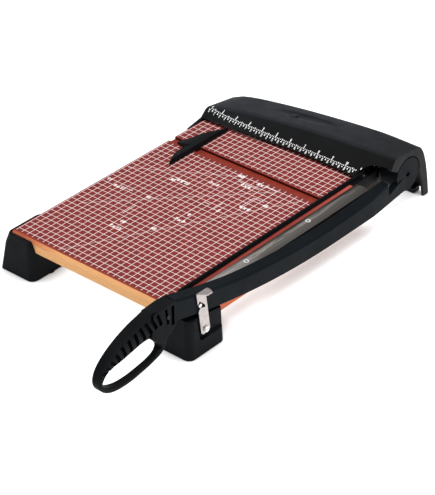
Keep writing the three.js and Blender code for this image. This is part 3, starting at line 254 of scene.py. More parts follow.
# The shallow scoop in the head's top, with its slope in plan and the share of its reach that its rim takes
SCOOP_MIDDLE = (-5.0, 344.5)
SCOOP_HALF_LENGTH = 58.0
SCOOP_HALF_WIDTH = 10.5
SCOOP_SLANT = 0.082
SCOOP_RIM = 0.2
# Painted shade in the scoop, from none at its front rim to dark at its rear rim
SCOOP_PAINTED_SHADE_TONES = ((0.1, 1.0), (0.45, 0.72), (0.9, 0.36))


def moulded_surface(shader, grain_depth, grain_strength, wave_depth):
    """The uneven sheen, the fine grain and the faint waves of a moulding."""
    shader.give("Roughness", shader.tones(shader.noise(60.0, detail=6.0), (0.44, 0.57)))
    shader.bump(shader.noise(1700.0, detail=2.0), grain_depth, grain_strength)
    shader.bump(shader.noise(90.0, detail=2.0), wave_depth, 0.35)


def moulded_plastic(name, tones, specular):
    """Black plastic with a fine moulded grain and faint sheen changes."""
    shader = Shader(name, 0.5, specular=specular)
    shader.give("Base Color", shader.tones(shader.noise(26.0, detail=3.0), tones, (0.3, 0.72)))
    moulded_surface(shader, grain_depth=0.04, grain_strength=0.55, wave_depth=0.08)
    return shader.material


def scoop_shade(shader, x, y):
    """How far inside the scoop a place lies, and the painted shade of the scoop there, darker toward its
    rear rim.
    """
    middle = at(*SCOOP_MIDDLE)
    aside = shader.minus(x, middle.x)
    behind = shader.minus(shader.minus(y, middle.y), shader.times(aside, SCOOP_SLANT))
    across = shader.math("DIVIDE", behind, SCOOP_HALF_WIDTH * MM)
    along = shader.math("DIVIDE", aside, SCOOP_HALF_LENGTH * MM)
    reach = shader.math("ADD", shader.times(across, across), shader.times(along, along))
    from_front = shader.times(shader.math("ADD", across, 1.0), 0.5)
    return shader.fall(reach, 1.0, SCOOP_RIM), shader.ramp(from_front, *SCOOP_PAINTED_SHADE_TONES)


def head_plastic():
    """The head's moulding: a textured top painted lighter, partly as light from above, with painted shade in
    its scoop and toward its right end, over a smoother, darker ruler face.
    """
    shader = Shader("head_moulding", 0.5, specular=0.14)
    x, y = shader.coordinates("XY")
    cloud = shader.noise(26.0, detail=3.0)
    upper = shader.rise(shader.facing("Z"), *HEAD_TOP_FACING)
    colour = shader.mix(upper, shader.tones(cloud, RULER_FACE_BLACK), shader.tones(cloud, HEAD_TOP_BLACK_WITH_PAINTED_LIGHT))
    inside, scoop = scoop_shade(shader, x, y)
    # The scoop's painted shade, on the head's top only
    shade = shader.mix(shader.times(inside, upper), WHITE, scoop)
    # Painted shade toward the head's right end
    rightward = shader.rise(x, at(HEAD_SHADE_FROM, 0.0).x, HEAD_SHADE_LENGTH * MM)
    shade = shader.mix(1.0, shade, shader.tones(rightward, HEAD_SHADE_TONES, (0.0, 1.0)), "MULTIPLY")
    shader.give("Base Color", shader.mix(1.0, colour, shade, "MULTIPLY"))
    moulded_surface(shader, grain_depth=0.05, grain_strength=0.6, wave_depth=0.06)
    return shader.material


def arm_paint():
    """Semi-matt black powder coat on the arm."""
    shader = Shader("arm_paint", 0.55, specular=0.04)
    shader.give("Base Color", shader.tones(shader.noise(18.0, detail=3.0), ARM_PAINT))
    shader.give("Roughness", shader.tones(shader.noise(45.0, detail=5.0), (0.4, 0.52)))
    shader.bump(shader.cells(900.0), 0.03, 0.5)
    shader.bump(shader.noise(140.0, detail=3.0), 0.06, 0.3)
    return shader.material


def rubber_material():
    """Dull black rubber under the feet and the head."""
    shader = Shader("rubber", 0.85, specular=0.2)
    shader.give("Base Color", shader.tones(shader.noise(200.0), RUBBER))
    shader.bump(shader.noise(1400.0, detail=3.0), 0.08, 0.6)
    return shader.material


# Steel

GROUND_STEEL = ((0.42, 0.41, 0.39), (0.62, 0.61, 0.58))
# Dark steel, painted on the blade's upper part as shade
BLADE_PAINTED_SHADE_STEEL = ((0.022, 0.023, 0.024), (0.042, 0.043, 0.045))
BRIGHT_PLATING = (0.82, 0.80, 0.78)
LATCH_PLATING = (0.50, 0.455, 0.445)
BLACKENED = (0.030, 0.032, 0.035)
# What is left of a plated colour where it is scuffed dull
DULLED = 0.8
# The blade is ground up to this height from the board's top, and painted dark as shade from a border's width
# above it
BLADE_GROUND_TO = -6.0
BLADE_BORDER = 4.0
# Painted reflections across the bed plate, dark edges and a bright streak, by share of its width, and how
# far its streaks wander, as a share too
BED_PAINTED_REFLECTION_TONES = ((0.02, (0.105, 0.094, 0.086)), (0.2, (0.215, 0.199, 0.181)), (0.34, (0.60, 0.570, 0.530)),
             (0.44, (0.250, 0.235, 0.217)), (0.9, (0.160, 0.149, 0.139)))
BED_WANDER = 0.9
# The bed plate's front end, painted pale as a reflection: its tones, where it ends, the length it fades over
# and its share in the mix
BED_FRONT_PAINTED_LIGHT_TONES = ((0.62, 0.595, 0.56), (0.90, 0.87, 0.83))
BED_FRONT_TO = 55.0
BED_FRONT_LENGTH = 90.0
BED_FRONT_SHARE = 0.9
# The bed plate's rear end, painted dark as shade: its tone, where it begins, the length it comes in over and
# its share
BED_REAR_PAINTED_SHADE = (0.078, 0.072, 0.068)
BED_REAR_FROM = 120.0
BED_REAR_LENGTH = 150.0
BED_REAR_SHARE = 0.5
# Tones of a round screw or bolt end, by share of its radius, with painted shade in its middle and at its rim
BED_SCREW_RINGS_AND_SHADE = ((0.0, (0.02, 0.02, 0.02)), (0.30, (0.05, 0.05, 0.05)), (0.42, WHITE), (0.86, WHITE),
                   (0.94, (0.10, 0.10, 0.09)))
BOLT_RINGS_AND_SHADE = ((0.60, (0.0004, 0.0004, 0.0004)), (0.72, (0.022, 0.026, 0.030)), (0.86, (0.020, 0.024, 0.027)),
              (0.97, (0.008, 0.009, 0.010)))


def blade_finish():
    """The blade: painted dark as shade above, bright and ground along its cutting edge."""
    shader = Shader("blade_steel", 0.34, metallic=1.0)
    lines = shader.noise(260.0, detail=5.0, roughness=0.7, vector=shader.stretched((60.0, 60.0, 1.6)))
    height = shader.part(shader.place, "Z")
    upper = shader.rise(height, at(0.0, 0.0, BLADE_GROUND_TO).z, BLADE_BORDER * MM)
    shader.give("Base Color", shader.mix(
        upper, shader.tones(lines, GROUND_STEEL), shader.tones(lines, BLADE_PAINTED_SHADE_STEEL)))
    shader.give("Roughness", shader.tones(lines, (0.28, 0.46), (0.25, 0.75)))
    shader.bump(lines, 0.02, 0.5)
    return shader.material


def bed_plate_steel():
    """The bed plate: coarse grinding along its length, with painted reflections in a bright streak, dark
    edges and a paler front end, and painted shade at its rear end.
    """
    shader = Shader("ground_bed_steel", 0.42, metallic=1.0)
    x, y = shader.coordinates("XY")
    low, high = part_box("bed_plate")
    lines = shader.noise(260.0, detail=6.0, roughness=0.7, vector=shader.stretched((60.0, 1.6, 60.0)))
    broad = shader.noise(30.0, detail=3.0, vector=shader.stretched((9.0, 0.5, 9.0)))
    across = shader.math("DIVIDE", shader.minus(x, low.x), high.x - low.x)
    across = shader.math("ADD", across, shader.times(shader.minus(broad, 0.5), BED_WANDER))
    front_painted_light = shader.fall(y, at(0.0, BED_FRONT_TO).y, BED_FRONT_LENGTH * MM)
    rear_painted_shade = shader.rise(y, at(0.0, BED_REAR_FROM).y, BED_REAR_LENGTH * MM)
    tone = shader.ramp(across, *BED_PAINTED_REFLECTION_TONES)
    tone = shader.mix(shader.times(front_painted_light, BED_FRONT_SHARE), tone, shader.tones(lines, BED_FRONT_PAINTED_LIGHT_TONES))
    tone = shader.mix(shader.times(rear_painted_shade, BED_REAR_SHARE), tone, BED_REAR_PAINTED_SHADE)
    grain = shader.tones(lines, (0.55, 1.0), (0.25, 0.7))
    shader.give("Base Color", shader.mix(0.7, tone, grain, "MULTIPLY"))
    shader.give("Roughness", shader.tones(lines, (0.34, 0.52), (0.25, 0.75)))
    shader.bump(lines, 0.03, 0.5)
    return shader.material


def ringed_steel(node, axes, roughness, metallic, rings):
    """Rings of tone about a node's middle, in the plane of two axes."""
    shader = Shader(f"{node}_steel", roughness, metallic=metallic, specular=0.0)
    low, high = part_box(node)
    middle = (low + high) / 2
    away = [shader.minus(place, middle["XYZ".index(axis)])
            for axis, place in zip(axes, shader.coordinates(axes))]
    square = shader.math("ADD", *(shader.times(value, value) for value in away))
    share = shader.math("DIVIDE", shader.math("POWER", square, 0.5), (high.y - low.y) / 2)
    shader.give("Base Color", shader.ramp(share, *rings))
    shader.give("Roughness", shader.tones(shader.noise(600.0), (roughness - 0.08, roughness + 0.1)))
    shader.bump(shader.noise(300.0, detail=3.0), 0.03, 0.4)
    return shader.material


def bed_screw_steel(node):
    """A bed plate screw: a bright turned ring round a recess painted dark as shade, inside a rim painted
    dark as shade.
    """
    return ringed_steel(node, "XY", roughness=0.5, metallic=1.0, rings=BED_SCREW_RINGS_AND_SHADE)


def bolt_steel(node):
    """The pivot bolt: painted like the arm, with the shade of its drive painted near-black in its middle and
    painted shade at its rim.
    """
    return ringed_steel(node, "YZ", roughness=0.6, metallic=0.0, rings=BOLT_RINGS_AND_SHADE)


def plated_steel(name, colour, roughness):
    """Plating with faint waves and tiny scuffs."""
    shader = Shader(name, roughness, metallic=1.0)
    dull = tuple(channel * DULLED for channel in colour)
    shader.give("Base Color", shader.tones(shader.noise(120.0, detail=5.0), (dull, colour), (0.25, 0.6)))
    shader.give("Roughness", shader.tones(
        shader.noise(420.0, detail=5.0), (roughness - 0.06, roughness + 0.12), (0.3, 0.75)))
    shader.bump(shader.noise(300.0, detail=3.0), 0.03, 0.4)
    return shader.material


# Wood

RED_PAINT = ((0.150, 0.019, 0.017), (0.242, 0.032, 0.027))
RED_SPECKS = ((0.12, 0.020, 0.022), (0.30, 0.052, 0.050))
BAND_STAIN = ((0.200, 0.026, 0.015), (0.268, 0.038, 0.022))
# The strip beside the bed plate: partly its stain, partly painted light that lifts it out of the guard's
# shade
STRIP_STAIN_AND_PAINTED_LIGHT = ((0.25, 0.040, 0.031), (0.33, 0.060, 0.046))
STRIP_REAR_STAIN_AND_PAINTED_LIGHT = ((0.40, 0.072, 0.054), (0.52, 0.105, 0.080))
WORN_STAIN = ((0.30, 0.050, 0.026), (0.38, 0.075, 0.036))
RAW_WOOD = ((0.25, (0.60, 0.285, 0.105)), (0.5, (0.76, 0.400, 0.165)), (0.75, (0.83, 0.480, 0.225)))
STAINED_NOSING = ((0.46, 0.095, 0.040), (0.62, 0.175, 0.075))
BARE_NOSING = ((0.74, 0.36, 0.150), (0.84, 0.45, 0.205))
# The board's sides are painted very dark
DARK_SIDE_TONES = ((0.042, 0.007, 0.007), (0.066, 0.011, 0.011))
UNDERSIDE_WOOD = ((0.26, 0.13, 0.06), (0.34, 0.18, 0.09))
CORNER_BLACK = (0.006, 0.006, 0.007)
RAIL_STAIN = ((0.25, (0.46, 0.090, 0.036)), (0.55, (0.62, 0.145, 0.058)), (0.8, (0.70, 0.20, 0.085)))
# Where the board changes its finish: the unprinted band, the strip beside the bed plate and its brighter
# rear end, both partly stain and partly painted light, the worn front edge, the nosing and its orange left
# end, and the black corner under the head
BAND = (197.5, 215.5)
BAND_BLUR = 1.2
STRIP_LEFT = 136.0
STRIP_BLUR = 0.4
STRIP_REAR_FROM = 160.0
STRIP_REAR_LENGTH = 90.0
WORN_EDGE_TO = 8.3
WORN_EDGE_LENGTH = 3.5
FRONT_FACE_TO = 20.0
NOSING_TO = 4.9
NOSING_FACING = 0.2
NOSING_ORANGE_TO = -50.0
NOSING_ORANGE_LENGTH = 70.0
TOP_DEPTH = 8.2
BLACK_CORNER = ((136.0, 266.0), (129.0, 283.0))


def board_top(shader, x, y, cloud, fine):
    """The board's top: red paint, the stained band, the strip, partly stain and partly painted light, and
    the worn front edge.
    """
    from_front = shader.minus(y, at(0.0, -GRID_TO_FRONT_EDGE).y)
    paint = shader.mix(0.35, shader.tones(cloud, RED_PAINT), shader.tones(fine, RED_SPECKS, (0.35, 0.65)))
    band = shader.window(y, *(at(0.0, edge).y for edge in BAND), BAND_BLUR * MM)
    strip = shader.rise(x, at(STRIP_LEFT, 0.0).x, STRIP_BLUR * MM)
    strip_rear = shader.rise(y, at(0.0, STRIP_REAR_FROM).y, STRIP_REAR_LENGTH * MM)
    strip_stain_and_painted_light = shader.mix(
        strip_rear, shader.tones(cloud, STRIP_STAIN_AND_PAINTED_LIGHT), shader.tones(cloud, STRIP_REAR_STAIN_AND_PAINTED_LIGHT))
    worn = shader.fall(from_front, WORN_EDGE_TO * MM, WORN_EDGE_LENGTH * MM)
    top = shader.mix(band, paint, shader.tones(cloud, BAND_STAIN))
    top = shader.mix(strip, top, strip_stain_and_painted_light)
    return shader.mix(worn, top, shader.tones(fine, WORN_STAIN))


def board_material():
    """Red painted board: a stained band, a worn front edge, a strip beside the bed plate that is partly
    stain and partly painted light, very dark sides, raw wood on the front face and a bare nosing.
    """
    shader = Shader("board_finish", 0.5, specular=0.08)
    x, y, z = shader.coordinates("XYZ")
    cloud = shader.noise(75.0, detail=5.0, roughness=0.6)
    fine = shader.noise(900.0, detail=3.0)
    rings = shader.noise(6.0, detail=6.0, roughness=0.65, vector=shader.stretched((9.0, 1.0, 150.0)))
    front_edge = at(0.0, -GRID_TO_FRONT_EDGE).y
    upward = shader.times(shader.above(shader.facing("Z"), FACING),
                          shader.above(z, at(0.0, 0.0, -TOP_DEPTH).z))
    downward = shader.below(shader.facing("Z"), -FACING)
    nosing = shader.times(shader.above(shader.facing("Z"), NOSING_FACING),
                          shader.below(y, front_edge + NOSING_TO * MM))
    left_end = shader.fall(x, at(NOSING_ORANGE_TO, 0.0).x, NOSING_ORANGE_LENGTH * MM)
    nosing_tone = shader.mix(
        left_end, shader.tones(rings, BARE_NOSING), shader.tones(rings, STAINED_NOSING))
    front_face = shader.times(shader.below(shader.facing("Y"), -FACING),
                              shader.below(y, front_edge + FRONT_FACE_TO * MM))
    black_corner = shader.math("MAXIMUM", *(
        shader.times(shader.above(x, at(left, 0.0).x), shader.above(y, at(0.0, front).y))
        for left, front in BLACK_CORNER))
    colour = shader.mix(upward, shader.tones(fine, DARK_SIDE_TONES), board_top(shader, x, y, cloud, fine))
    colour = shader.mix(downward, colour, shader.tones(rings, UNDERSIDE_WOOD))
    colour = shader.mix(nosing, colour, nosing_tone)
    colour = shader.mix(front_face, colour, shader.ramp(rings, *RAW_WOOD))
    colour = shader.mix(black_corner, colour, CORNER_BLACK)
    shader.give("Base Color", colour)
    shader.give("Roughness", shader.tones(cloud, (0.36, 0.5)))
    shader.bump(fine, 0.03, 0.5)
    shader.bump(rings, 0.08, 0.25)
    return shader.material


def rail_wood():
    """Orange-red stained rail with long grain."""
    shader = Shader("rail_finish", 0.55, specular=0.2)
    rings = shader.noise(5.0, detail=6.0, roughness=0.6, vector=shader.stretched((90.0, 5.0, 90.0)))
    shader.give("Base Color", shader.ramp(rings, *RAIL_STAIN))
    shader.bump(rings, 0.12, 0.4)
    return shader.material


# Ink

GRID_INK = ((0.88, 0.62, 0.59), (0.98, 0.82, 0.79))
GUIDE_INK = ((0.78, 0.66, 0.64), (0.94, 0.89, 0.88))
RULER_INK = ((0.80, 0.82, 0.81), (0.96, 0.97, 0.96))


def ink_material(name, tones):
    """Screen-printed ink, a little thin in places."""
    shader = Shader(name, 0.5, specular=0.3)
    shader.give("Base Color", shader.tones(shader.noise(420.0, detail=4.0), tones, (0.32, 0.55)))
    shader.bump(shader.noise(1500.0), 0.01, 0.4)
    return shader.material


# The materials in use

black = moulded_plastic("black_moulding", BLACK_PLASTIC, specular=0.035)
pocket_painted_shade = moulded_plastic("pocket_painted_shade", POCKET_PAINTED_SHADE, specular=0.02)
head_black = head_plastic()
painted = arm_paint()
bed_steel = bed_plate_steel()
blade_steel = blade_finish()
bright = plated_steel("bright_plating", BRIGHT_PLATING, 0.26)
latch_bright = plated_steel("latch_plating", LATCH_PLATING, 0.36)
blackened = plated_steel("blackened_steel", BLACKENED, 0.42)
wood_board = board_material()
wood_rail = rail_wood()
grid_ink = ink_material("grid_ink", GRID_INK)
guide_ink = ink_material("guide_ink", GUIDE_INK)
ruler_ink = ink_material("ruler_ink", RULER_INK)
rubber = rubber_material()


# Pieces made from the frame's solids

body_of_node = {
    node: body for body, nodes in frame["record"]["behaviour"]["bodies"].items() for node in nodes}

# An edge is rounded where the surface turns by more than this many degrees
ROUNDED_TURN = 32.0
# Faces are joined where the surface turns by less than this many degrees
JOINED_TURN = 0.4
# A face larger than this, in square metres, keeps its rim sharp where the surface turns by this many degrees
LARGE_FACE = 0.002
RIM_TURN = 5.0
# The handle's slots: their greatest width and depth, and how far each wall is moved back
SLOT_WIDTH = 4.4
DEEPEST_SLOT = 10.0
SLOT_WIDENING = 0.8
# A face runs along X where its normal points along X by less than this
WALL_FACING = 0.3
# The rays that find a slot's walls: how far from a floor or a wall they start, and how many go round a floor
FLOOR_PROBE_LIFT = 0.3
WALL_PROBE_LIFT = 0.1
FLOOR_PROBES = 16


def object_from(name, bm, material, body):
    """A scene object that rides on a body."""
    mesh = bpy.data.meshes.new(name)
    bm.to_mesh(mesh)
    bm.free()
    piece = bpy.data.objects.new(name, mesh)
    bpy.context.scene.collection.objects.link(piece)
    piece.data.materials.append(material)
    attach(piece, body)
    return piece


def smooth_by_angle(bm):
    """Smooth faces, with sharp edges wherever the surface turns more than a curve's facets do."""
    for face in bm.faces:
        face.smooth = True
    for edge in bm.edges:
        beside_large = any(face.calc_area() > LARGE_FACE for face in edge.link_faces)
        limit = RIM_TURN if beside_large else ROUNDED_TURN
        edge.smooth = edge.calc_face_angle(math.pi) < math.radians(limit)


def is_slot_floor(face, tree):
    """Whether a face looks to the right from between two walls of a slot."""
    if face.normal.x < FACING:
        return False
    start = face.calc_center_median() + Vector((FLOOR_PROBE_LIFT * MM, 0.0, 0.0))
    turns = [2.0 * math.pi * k / FLOOR_PROBES for k in range(FLOOR_PROBES)]
    ways = [Vector((0.0, math.cos(turn), math.sin(turn))) for turn in turns]
    hits = [tree.ray_cast(start, way, SLOT_WIDTH * MM)[0] is not None for way in ways]
    half = FLOOR_PROBES // 2
    return any(hits[k] and hits[k + half] for k in range(half))


def runs_along_x(face):
    """Whether a face runs along X, as the walls of the slots do."""
    return abs(face.normal.x) < WALL_FACING


def is_shallow(face):
    """Whether a face reaches no further along X than a slot is deep."""
    reach = [corner.co.x for corner in face.verts]
    return max(reach) - min(reach) < DEEPEST_SLOT * MM


def wall_can_move(wall, tree):
    """Whether a wall faces another across its slot and touches none of the handle's outer faces."""
    start = wall.calc_center_median() + wall.normal * WALL_PROBE_LIFT * MM
    if tree.ray_cast(start, wall.normal, SLOT_WIDTH * MM)[0] is None:
        return False
    return all(abs(face.normal.x) > WALL_FACING or is_shallow(face)
               for corner in wall.verts for face in corner.link_faces)


def open_slots(bm):
    """Widen the slots that open to the right, and give their floors and walls the second material, a
    near-black painted shade.
    """
    tree = BVHTree.FromBMesh(bm)
    floors = [face for face in bm.faces if is_slot_floor(face, tree)]
    beside = (wall for face in floors for edge in face.edges for wall in edge.link_faces)
    walls = list(dict.fromkeys(wall for wall in beside if runs_along_x(wall) and is_shallow(wall)))
    for face in (*floors, *walls):
        face.material_index = 1
    inward = {}
    for wall in walls:
        if wall_can_move(wall, tree):
            for corner in wall.verts:
                inward.setdefault(corner, []).append(wall.normal.copy())
    for corner, normals in inward.items():
        corner.co -= sum(normals, Vector()).normalized() * SLOT_WIDENING * MM


def dressed(node, material, radius, segments=3, slotted=False):
    """A copy of a CAD node with its hard edges rounded and its curved faces smooth."""
    bm = bmesh.new()
    bm.from_mesh(frame["nodes"][node].data)
    bmesh.ops.remove_doubles(bm, verts=bm.verts, dist=TINY)
    bmesh.ops.dissolve_limit(bm, angle_limit=math.radians(JOINED_TURN), verts=bm.verts, edges=bm.edges)
    bmesh.ops.recalc_face_normals(bm, faces=bm.faces)
    smooth_by_angle(bm)
    if slotted:
        open_slots(bm)
    piece = object_from(f"{node}_finish", bm, material, body_of_node[node])
    if slotted:
        piece.data.materials.append(pocket_painted_shade)
    bevel = piece.modifiers.new("edge_rounding", "BEVEL")
    bevel.width = radius * MM
    bevel.segments = segments
    bevel.limit_method = "ANGLE"
    bevel.angle_limit = math.radians(ROUNDED_TURN)
    bevel.harden_normals = True
    bevel.use_clamp_overlap = True
    bevel.miter_outer = "MITER_ARC"
    weighted = piece.modifiers.new("flat_faces", "WEIGHTED_NORMAL")
    weighted.keep_sharp = True
    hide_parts(node)


def paint(node, material):
    """A CAD node that stays, with a better material."""
    mesh = frame["nodes"][node].data
    mesh.materials.clear()
    mesh.materials.append(material)


dressed("board", wood_board, radius=0.4, segments=2)
dressed("edge_rail", wood_rail, radius=0.8)
dressed("bed_plate", bed_steel, radius=0.5)
dressed("guard_rail", black, radius=0.35, segments=2)
dressed("left_front_foot", black, radius=0.9)
dressed("right_front_foot", black, radius=0.9)
dressed("head_housing", head_black, radius=0.8)
dressed("arm", painted, radius=0.6)
dressed("blade", blade_steel, radius=0.25, segments=2)
dressed("handle", black, radius=0.5, slotted=True)
dressed("latch_strap", latch_bright, radius=0.3, segments=2)
dressed("latch_pin", bright, radius=0.3)
dressed("latch_washer", bright, radius=0.15)
dressed("fence", black, radius=0.5)
dressed("fence_runner", black, radius=0.3)
dressed("pivot_bracket", blackened, radius=0.4)

for node in frame["nodes"]:
    if "_pad_" in node:
        paint(node, rubber)
    elif "bed_plate_screw" in node:
        paint(node, bed_screw_steel(node))
    elif node == "pivot_bolt":
        paint(node, bolt_steel(node))
    elif node == "handle_screw":
        paint(node, blackened)
    elif "screw" in node or node in ("pivot_washer", "pivot_spring", "pivot_nut"):
        paint(node, bright)


# Printed grid, guides and ruler

def sheet_of_ink(bm, xs, ys, inked):
    """A thin closed sheet over the cells of a table of lines where `inked` says so."""
    top = {}
    bottom = {}

    def corner(book, i, j):
        if (i, j) not in book:
            book[i, j] = bm.verts.new(at(xs[i], ys[j], INK_HEIGHT if book is top else -INK_SINK))
        return book[i, j]

    cells = {(i, j) for i in range(len(xs) - 1) for j in range(len(ys) - 1) if inked(i, j)}
    for i, j in sorted(cells):
        around = [(i, j), (i + 1, j), (i + 1, j + 1), (i, j + 1)]
        bm.faces.new([corner(top, *crossing) for crossing in around])
        bm.faces.new([corner(bottom, *crossing) for crossing in reversed(around)])
        beside = [(i, j - 1), (i + 1, j), (i, j + 1), (i - 1, j)]
        for k, other in enumerate(beside):
            if other not in cells:
                start, end = around[k], around[(k + 1) % 4]
                bm.faces.new([corner(bottom, *start), corner(bottom, *end),
                              corner(top, *end), corner(top, *start)])


def printed_grid(bm, rows, ticks):
    """Crossing lines, of which the lengthways ones run on past the first and last row as ticks."""
    half = LINE_WIDTH / 2
    first_row, row_count = rows
    columns = [GRID_LEFT + i * GRID_PITCH for i in range(GRID_COLUMNS)]
    levels = [first_row + j * GRID_PITCH for j in range(row_count)]
    xs = sorted(value for column in columns for value in (column - half, column + half))
    ys = [ticks[0], *sorted(value for level in levels for value in (level - half, level + half)), ticks[1]]
    sheet_of_ink(bm, xs, ys, lambda i, j: i % 2 == 0 or j % 2 == 1)


def stroke(bm, start, end, width, height=RAISED_INK, surface=at):
    """A straight printed line as a thin bar that follows `surface`."""
    along = Vector((end[0] - start[0], end[1] - start[1]))
    side = Vector((-along.y, along.x)).normalized() * width / 2
    outline = [Vector(start) - side, Vector(end) - side, Vector(end) + side, Vector(start) + side]
    low = [bm.verts.new(surface(p.x, p.y, -INK_SINK)) for p in outline]
    high = [bm.verts.new(surface(p.x, p.y, height)) for p in outline]
    bm.faces.new(high)
    bm.faces.new(low[::-1])
    for k in range(4):
        after = (k + 1) % 4
        bm.faces.new([low[k], low[after], high[after], high[k]])


# How much bolder the figures are than the font, as a share of their size
FIGURE_BOLDNESS = 0.045
FIGURE_CURVE_STEPS = 3
# A depth that only tells the top of a figure from its bottom
FIGURE_DEPTH = 1.0


def figures(bm, text, place, size, surface=at, height=RAISED_INK):
    """Plain figures laid on `surface`, with their middle at `place`."""
    curve = bpy.data.curves.new("figures", "FONT")
    curve.body = text
    curve.size = size
    curve.align_x = "CENTER"
    curve.align_y = "CENTER"
    curve.resolution_u = FIGURE_CURVE_STEPS
    curve.extrude = FIGURE_DEPTH
    curve.offset = FIGURE_BOLDNESS * size
    holder = bpy.data.objects.new("figures", curve)
    bpy.context.scene.collection.objects.link(holder)
    evaluated = holder.evaluated_get(bpy.context.evaluated_depsgraph_get())
    mesh = bpy.data.meshes.new_from_object(evaluated)
    made = {}
    for vertex in mesh.vertices:
        flat = vertex.co.xy + Vector(place)
        lift = height if vertex.co.z > 0 else -INK_SINK
        made[vertex.index] = bm.verts.new(surface(flat.x, flat.y, lift))
    for polygon in mesh.polygons:
        bm.faces.new([made[i] for i in polygon.vertices])
    bpy.data.objects.remove(holder)
    bpy.data.curves.remove(curve)
    bpy.data.meshes.remove(mesh)


def finished_print(name, bm, material):
    """A print as a piece of the base."""
    bmesh.ops.remove_doubles(bm, verts=bm.verts, dist=TINY)
    bmesh.ops.recalc_face_normals(bm, faces=bm.faces)
    object_from(name, bm, material, "base")


grid_print = bmesh.new()
printed_grid(grid_print, FRONT_ROWS, FRONT_TICKS)
printed_grid(grid_print, REAR_ROWS, REAR_TICKS)
finished_print("grid_print", grid_print, grid_ink)

SLANT_WIDTH = 0.4
BRACKET_WIDTH = 0.95
# Slanted guides as (start, angle in degrees from leftward to frontward, length)
SLANTS = [((112.0, 192.0), 60.0, 340.0), ((74.0, 192.0), 45.0, 275.0), ((8.0, 190.0), 30.0, 165.0)]
# Size brackets as a corner and its arms
BRACKETS = [
    ((70.0, 189.0), (-17.0, 0.0), (0.0, -34.0)), ((10.0, 177.0), (38.0, 0.0), (0.0, 12.0)),
    ((56.5, 156.0), (0.0, -24.0), (18.0, 0.0)), ((-40.0, 129.0), (-24.0, 0.0)),
    ((10.0, 106.0), (0.0, -40.0), (10.0, 0.0)), ((-110.0, 65.0), (24.0, 0.0)),
    ((-57.0, 40.0), (0.0, -26.0)), ((32.0, 120.0), (0.0, -22.0), (8.0, 0.0)),
]
# Figures as (text, middle, size)
GUIDE_FIGURES = [
    ("60", (5.0, 189.0), 9.6), ("5 x 7", (44.0, 188.0), 8.4), ("4 x 6", (27.0, 173.0), 8.4),
    ("3 x 5", (-11.0, 150.0), 7.8), ("45", (82.0, 150.0), 8.4), ("8 x 10", (-48.0, 127.0), 8.4),
    ("30", (-64.0, 122.0), 8.4), ("6 x 8", (64.0, 128.0), 8.4), ("5", (40.0, 101.0), 9.0),
    ("11", (-133.0, 68.0), 8.4), ("8 x 11", (-108.0, 61.0), 7.8), ("45", (-58.0, 67.0), 7.8),
    ("9", (16.0, 68.0), 8.4), ("7 x 9", (15.0, 50.0), 8.4), ("60", (2.0, 13.0), 7.8),
    ("10", (-42.0, -1.0), 8.4), ("9 x 12", (-41.0, -17.0), 7.8),
]


def printed_guides():
    """The slanted guides, the size brackets and their figures."""
    bm = bmesh.new()
    for start, angle, length in SLANTS:
        reach = Vector((-math.cos(math.radians(angle)), -math.sin(math.radians(angle)))) * length
        stroke(bm, start, (start[0] + reach.x, start[1] + reach.y), SLANT_WIDTH)
    for corner, *arms in BRACKETS:
        for arm in arms:
            stroke(bm, corner, (corner[0] + arm[0], corner[1] + arm[1]), BRACKET_WIDTH)
    for text, place, size in GUIDE_FIGURES:
        figures(bm, text, place, size)
    return bm


finished_print("guide_print", printed_guides(), guide_ink)

# Ruler on the head's front face. A row is a share of the way from its foot to its top, a mark runs from row
# to row, and a figure is given as (row, size)
INCH = 25.4
EIGHTHS = 8
RULER_START = -143.9
RULER_INCHES = 11
RULER_LEFT = -139.5
RULER_RIGHT = 129.5
# The foot lies this far behind the head's front edge at this level, but never before RULER_FOOT
RULER_FOOT_INSET = 0.7
RULER_LEVEL = 5.2
RULER_FOOT = 281.9
RULER_TOP = 294.0
RULER_HEIGHT = 0.14
METRIC_STEP = 5.0
METRIC_WIDTH = 1.7
METRIC_MARK = (0.25, 0.42)
METRIC_FIGURE = (0.115, 2.9)
INCH_WIDTH = 1.35
INCH_FOOT = 0.5
INCH_TOPS = {0: 0.84, 4: 0.70}
SHORT_INCH_TOP = 0.63
INCH_FIGURE = (0.95, 4.2)
LAST_MARK = (0.78, 1.0)
ZERO_FIGURE = (0.86, 4.6)
ZERO_FIGURE_INSET = 0.6
# Where the rays that find the head's face start, in front of it and above it
PROBE_FRONT = 200.0
PROBE_HEIGHT = 200.0

head_mesh = frame["nodes"]["head_housing"].data
head_tree = BVHTree.FromPolygons(
    [tuple(vertex.co) for vertex in head_mesh.vertices],
    [tuple(polygon.vertices) for polygon in head_mesh.polygons])


def ruler_row(x, share):
    """How far behind the grid's middle a row of the ruler lies at x, in mm."""
    side = min(max(x, RULER_LEFT), RULER_RIGHT)
    edge = head_tree.ray_cast(at(side, PROBE_FRONT, RULER_LEVEL), Vector((0, 1, 0)))[0]
    foot = max(RULER_FOOT, (edge.y - GRID_ZERO.y) / MM + RULER_FOOT_INSET)
    return foot + (RULER_TOP - foot) * share


def on_head(x, y, lift):
    """A place on the head's front face."""
    spot, normal = head_tree.ray_cast(at(x, y, PROBE_HEIGHT), Vector((0, 0, -1)))[:2]
    return spot + normal * lift * MM


def ruler_mark(bm, x, foot, top, width):
    """A mark of the ruler, from row to row."""
    stroke(bm, (x, ruler_row(x, foot)), (x, ruler_row(x, top)), width, RULER_HEIGHT, on_head)


def ruler_figure(bm, text, x, row, size):
    """A figure of the ruler, on a row."""
    figures(bm, text, (x, ruler_row(x, row)), size, on_head, RULER_HEIGHT)


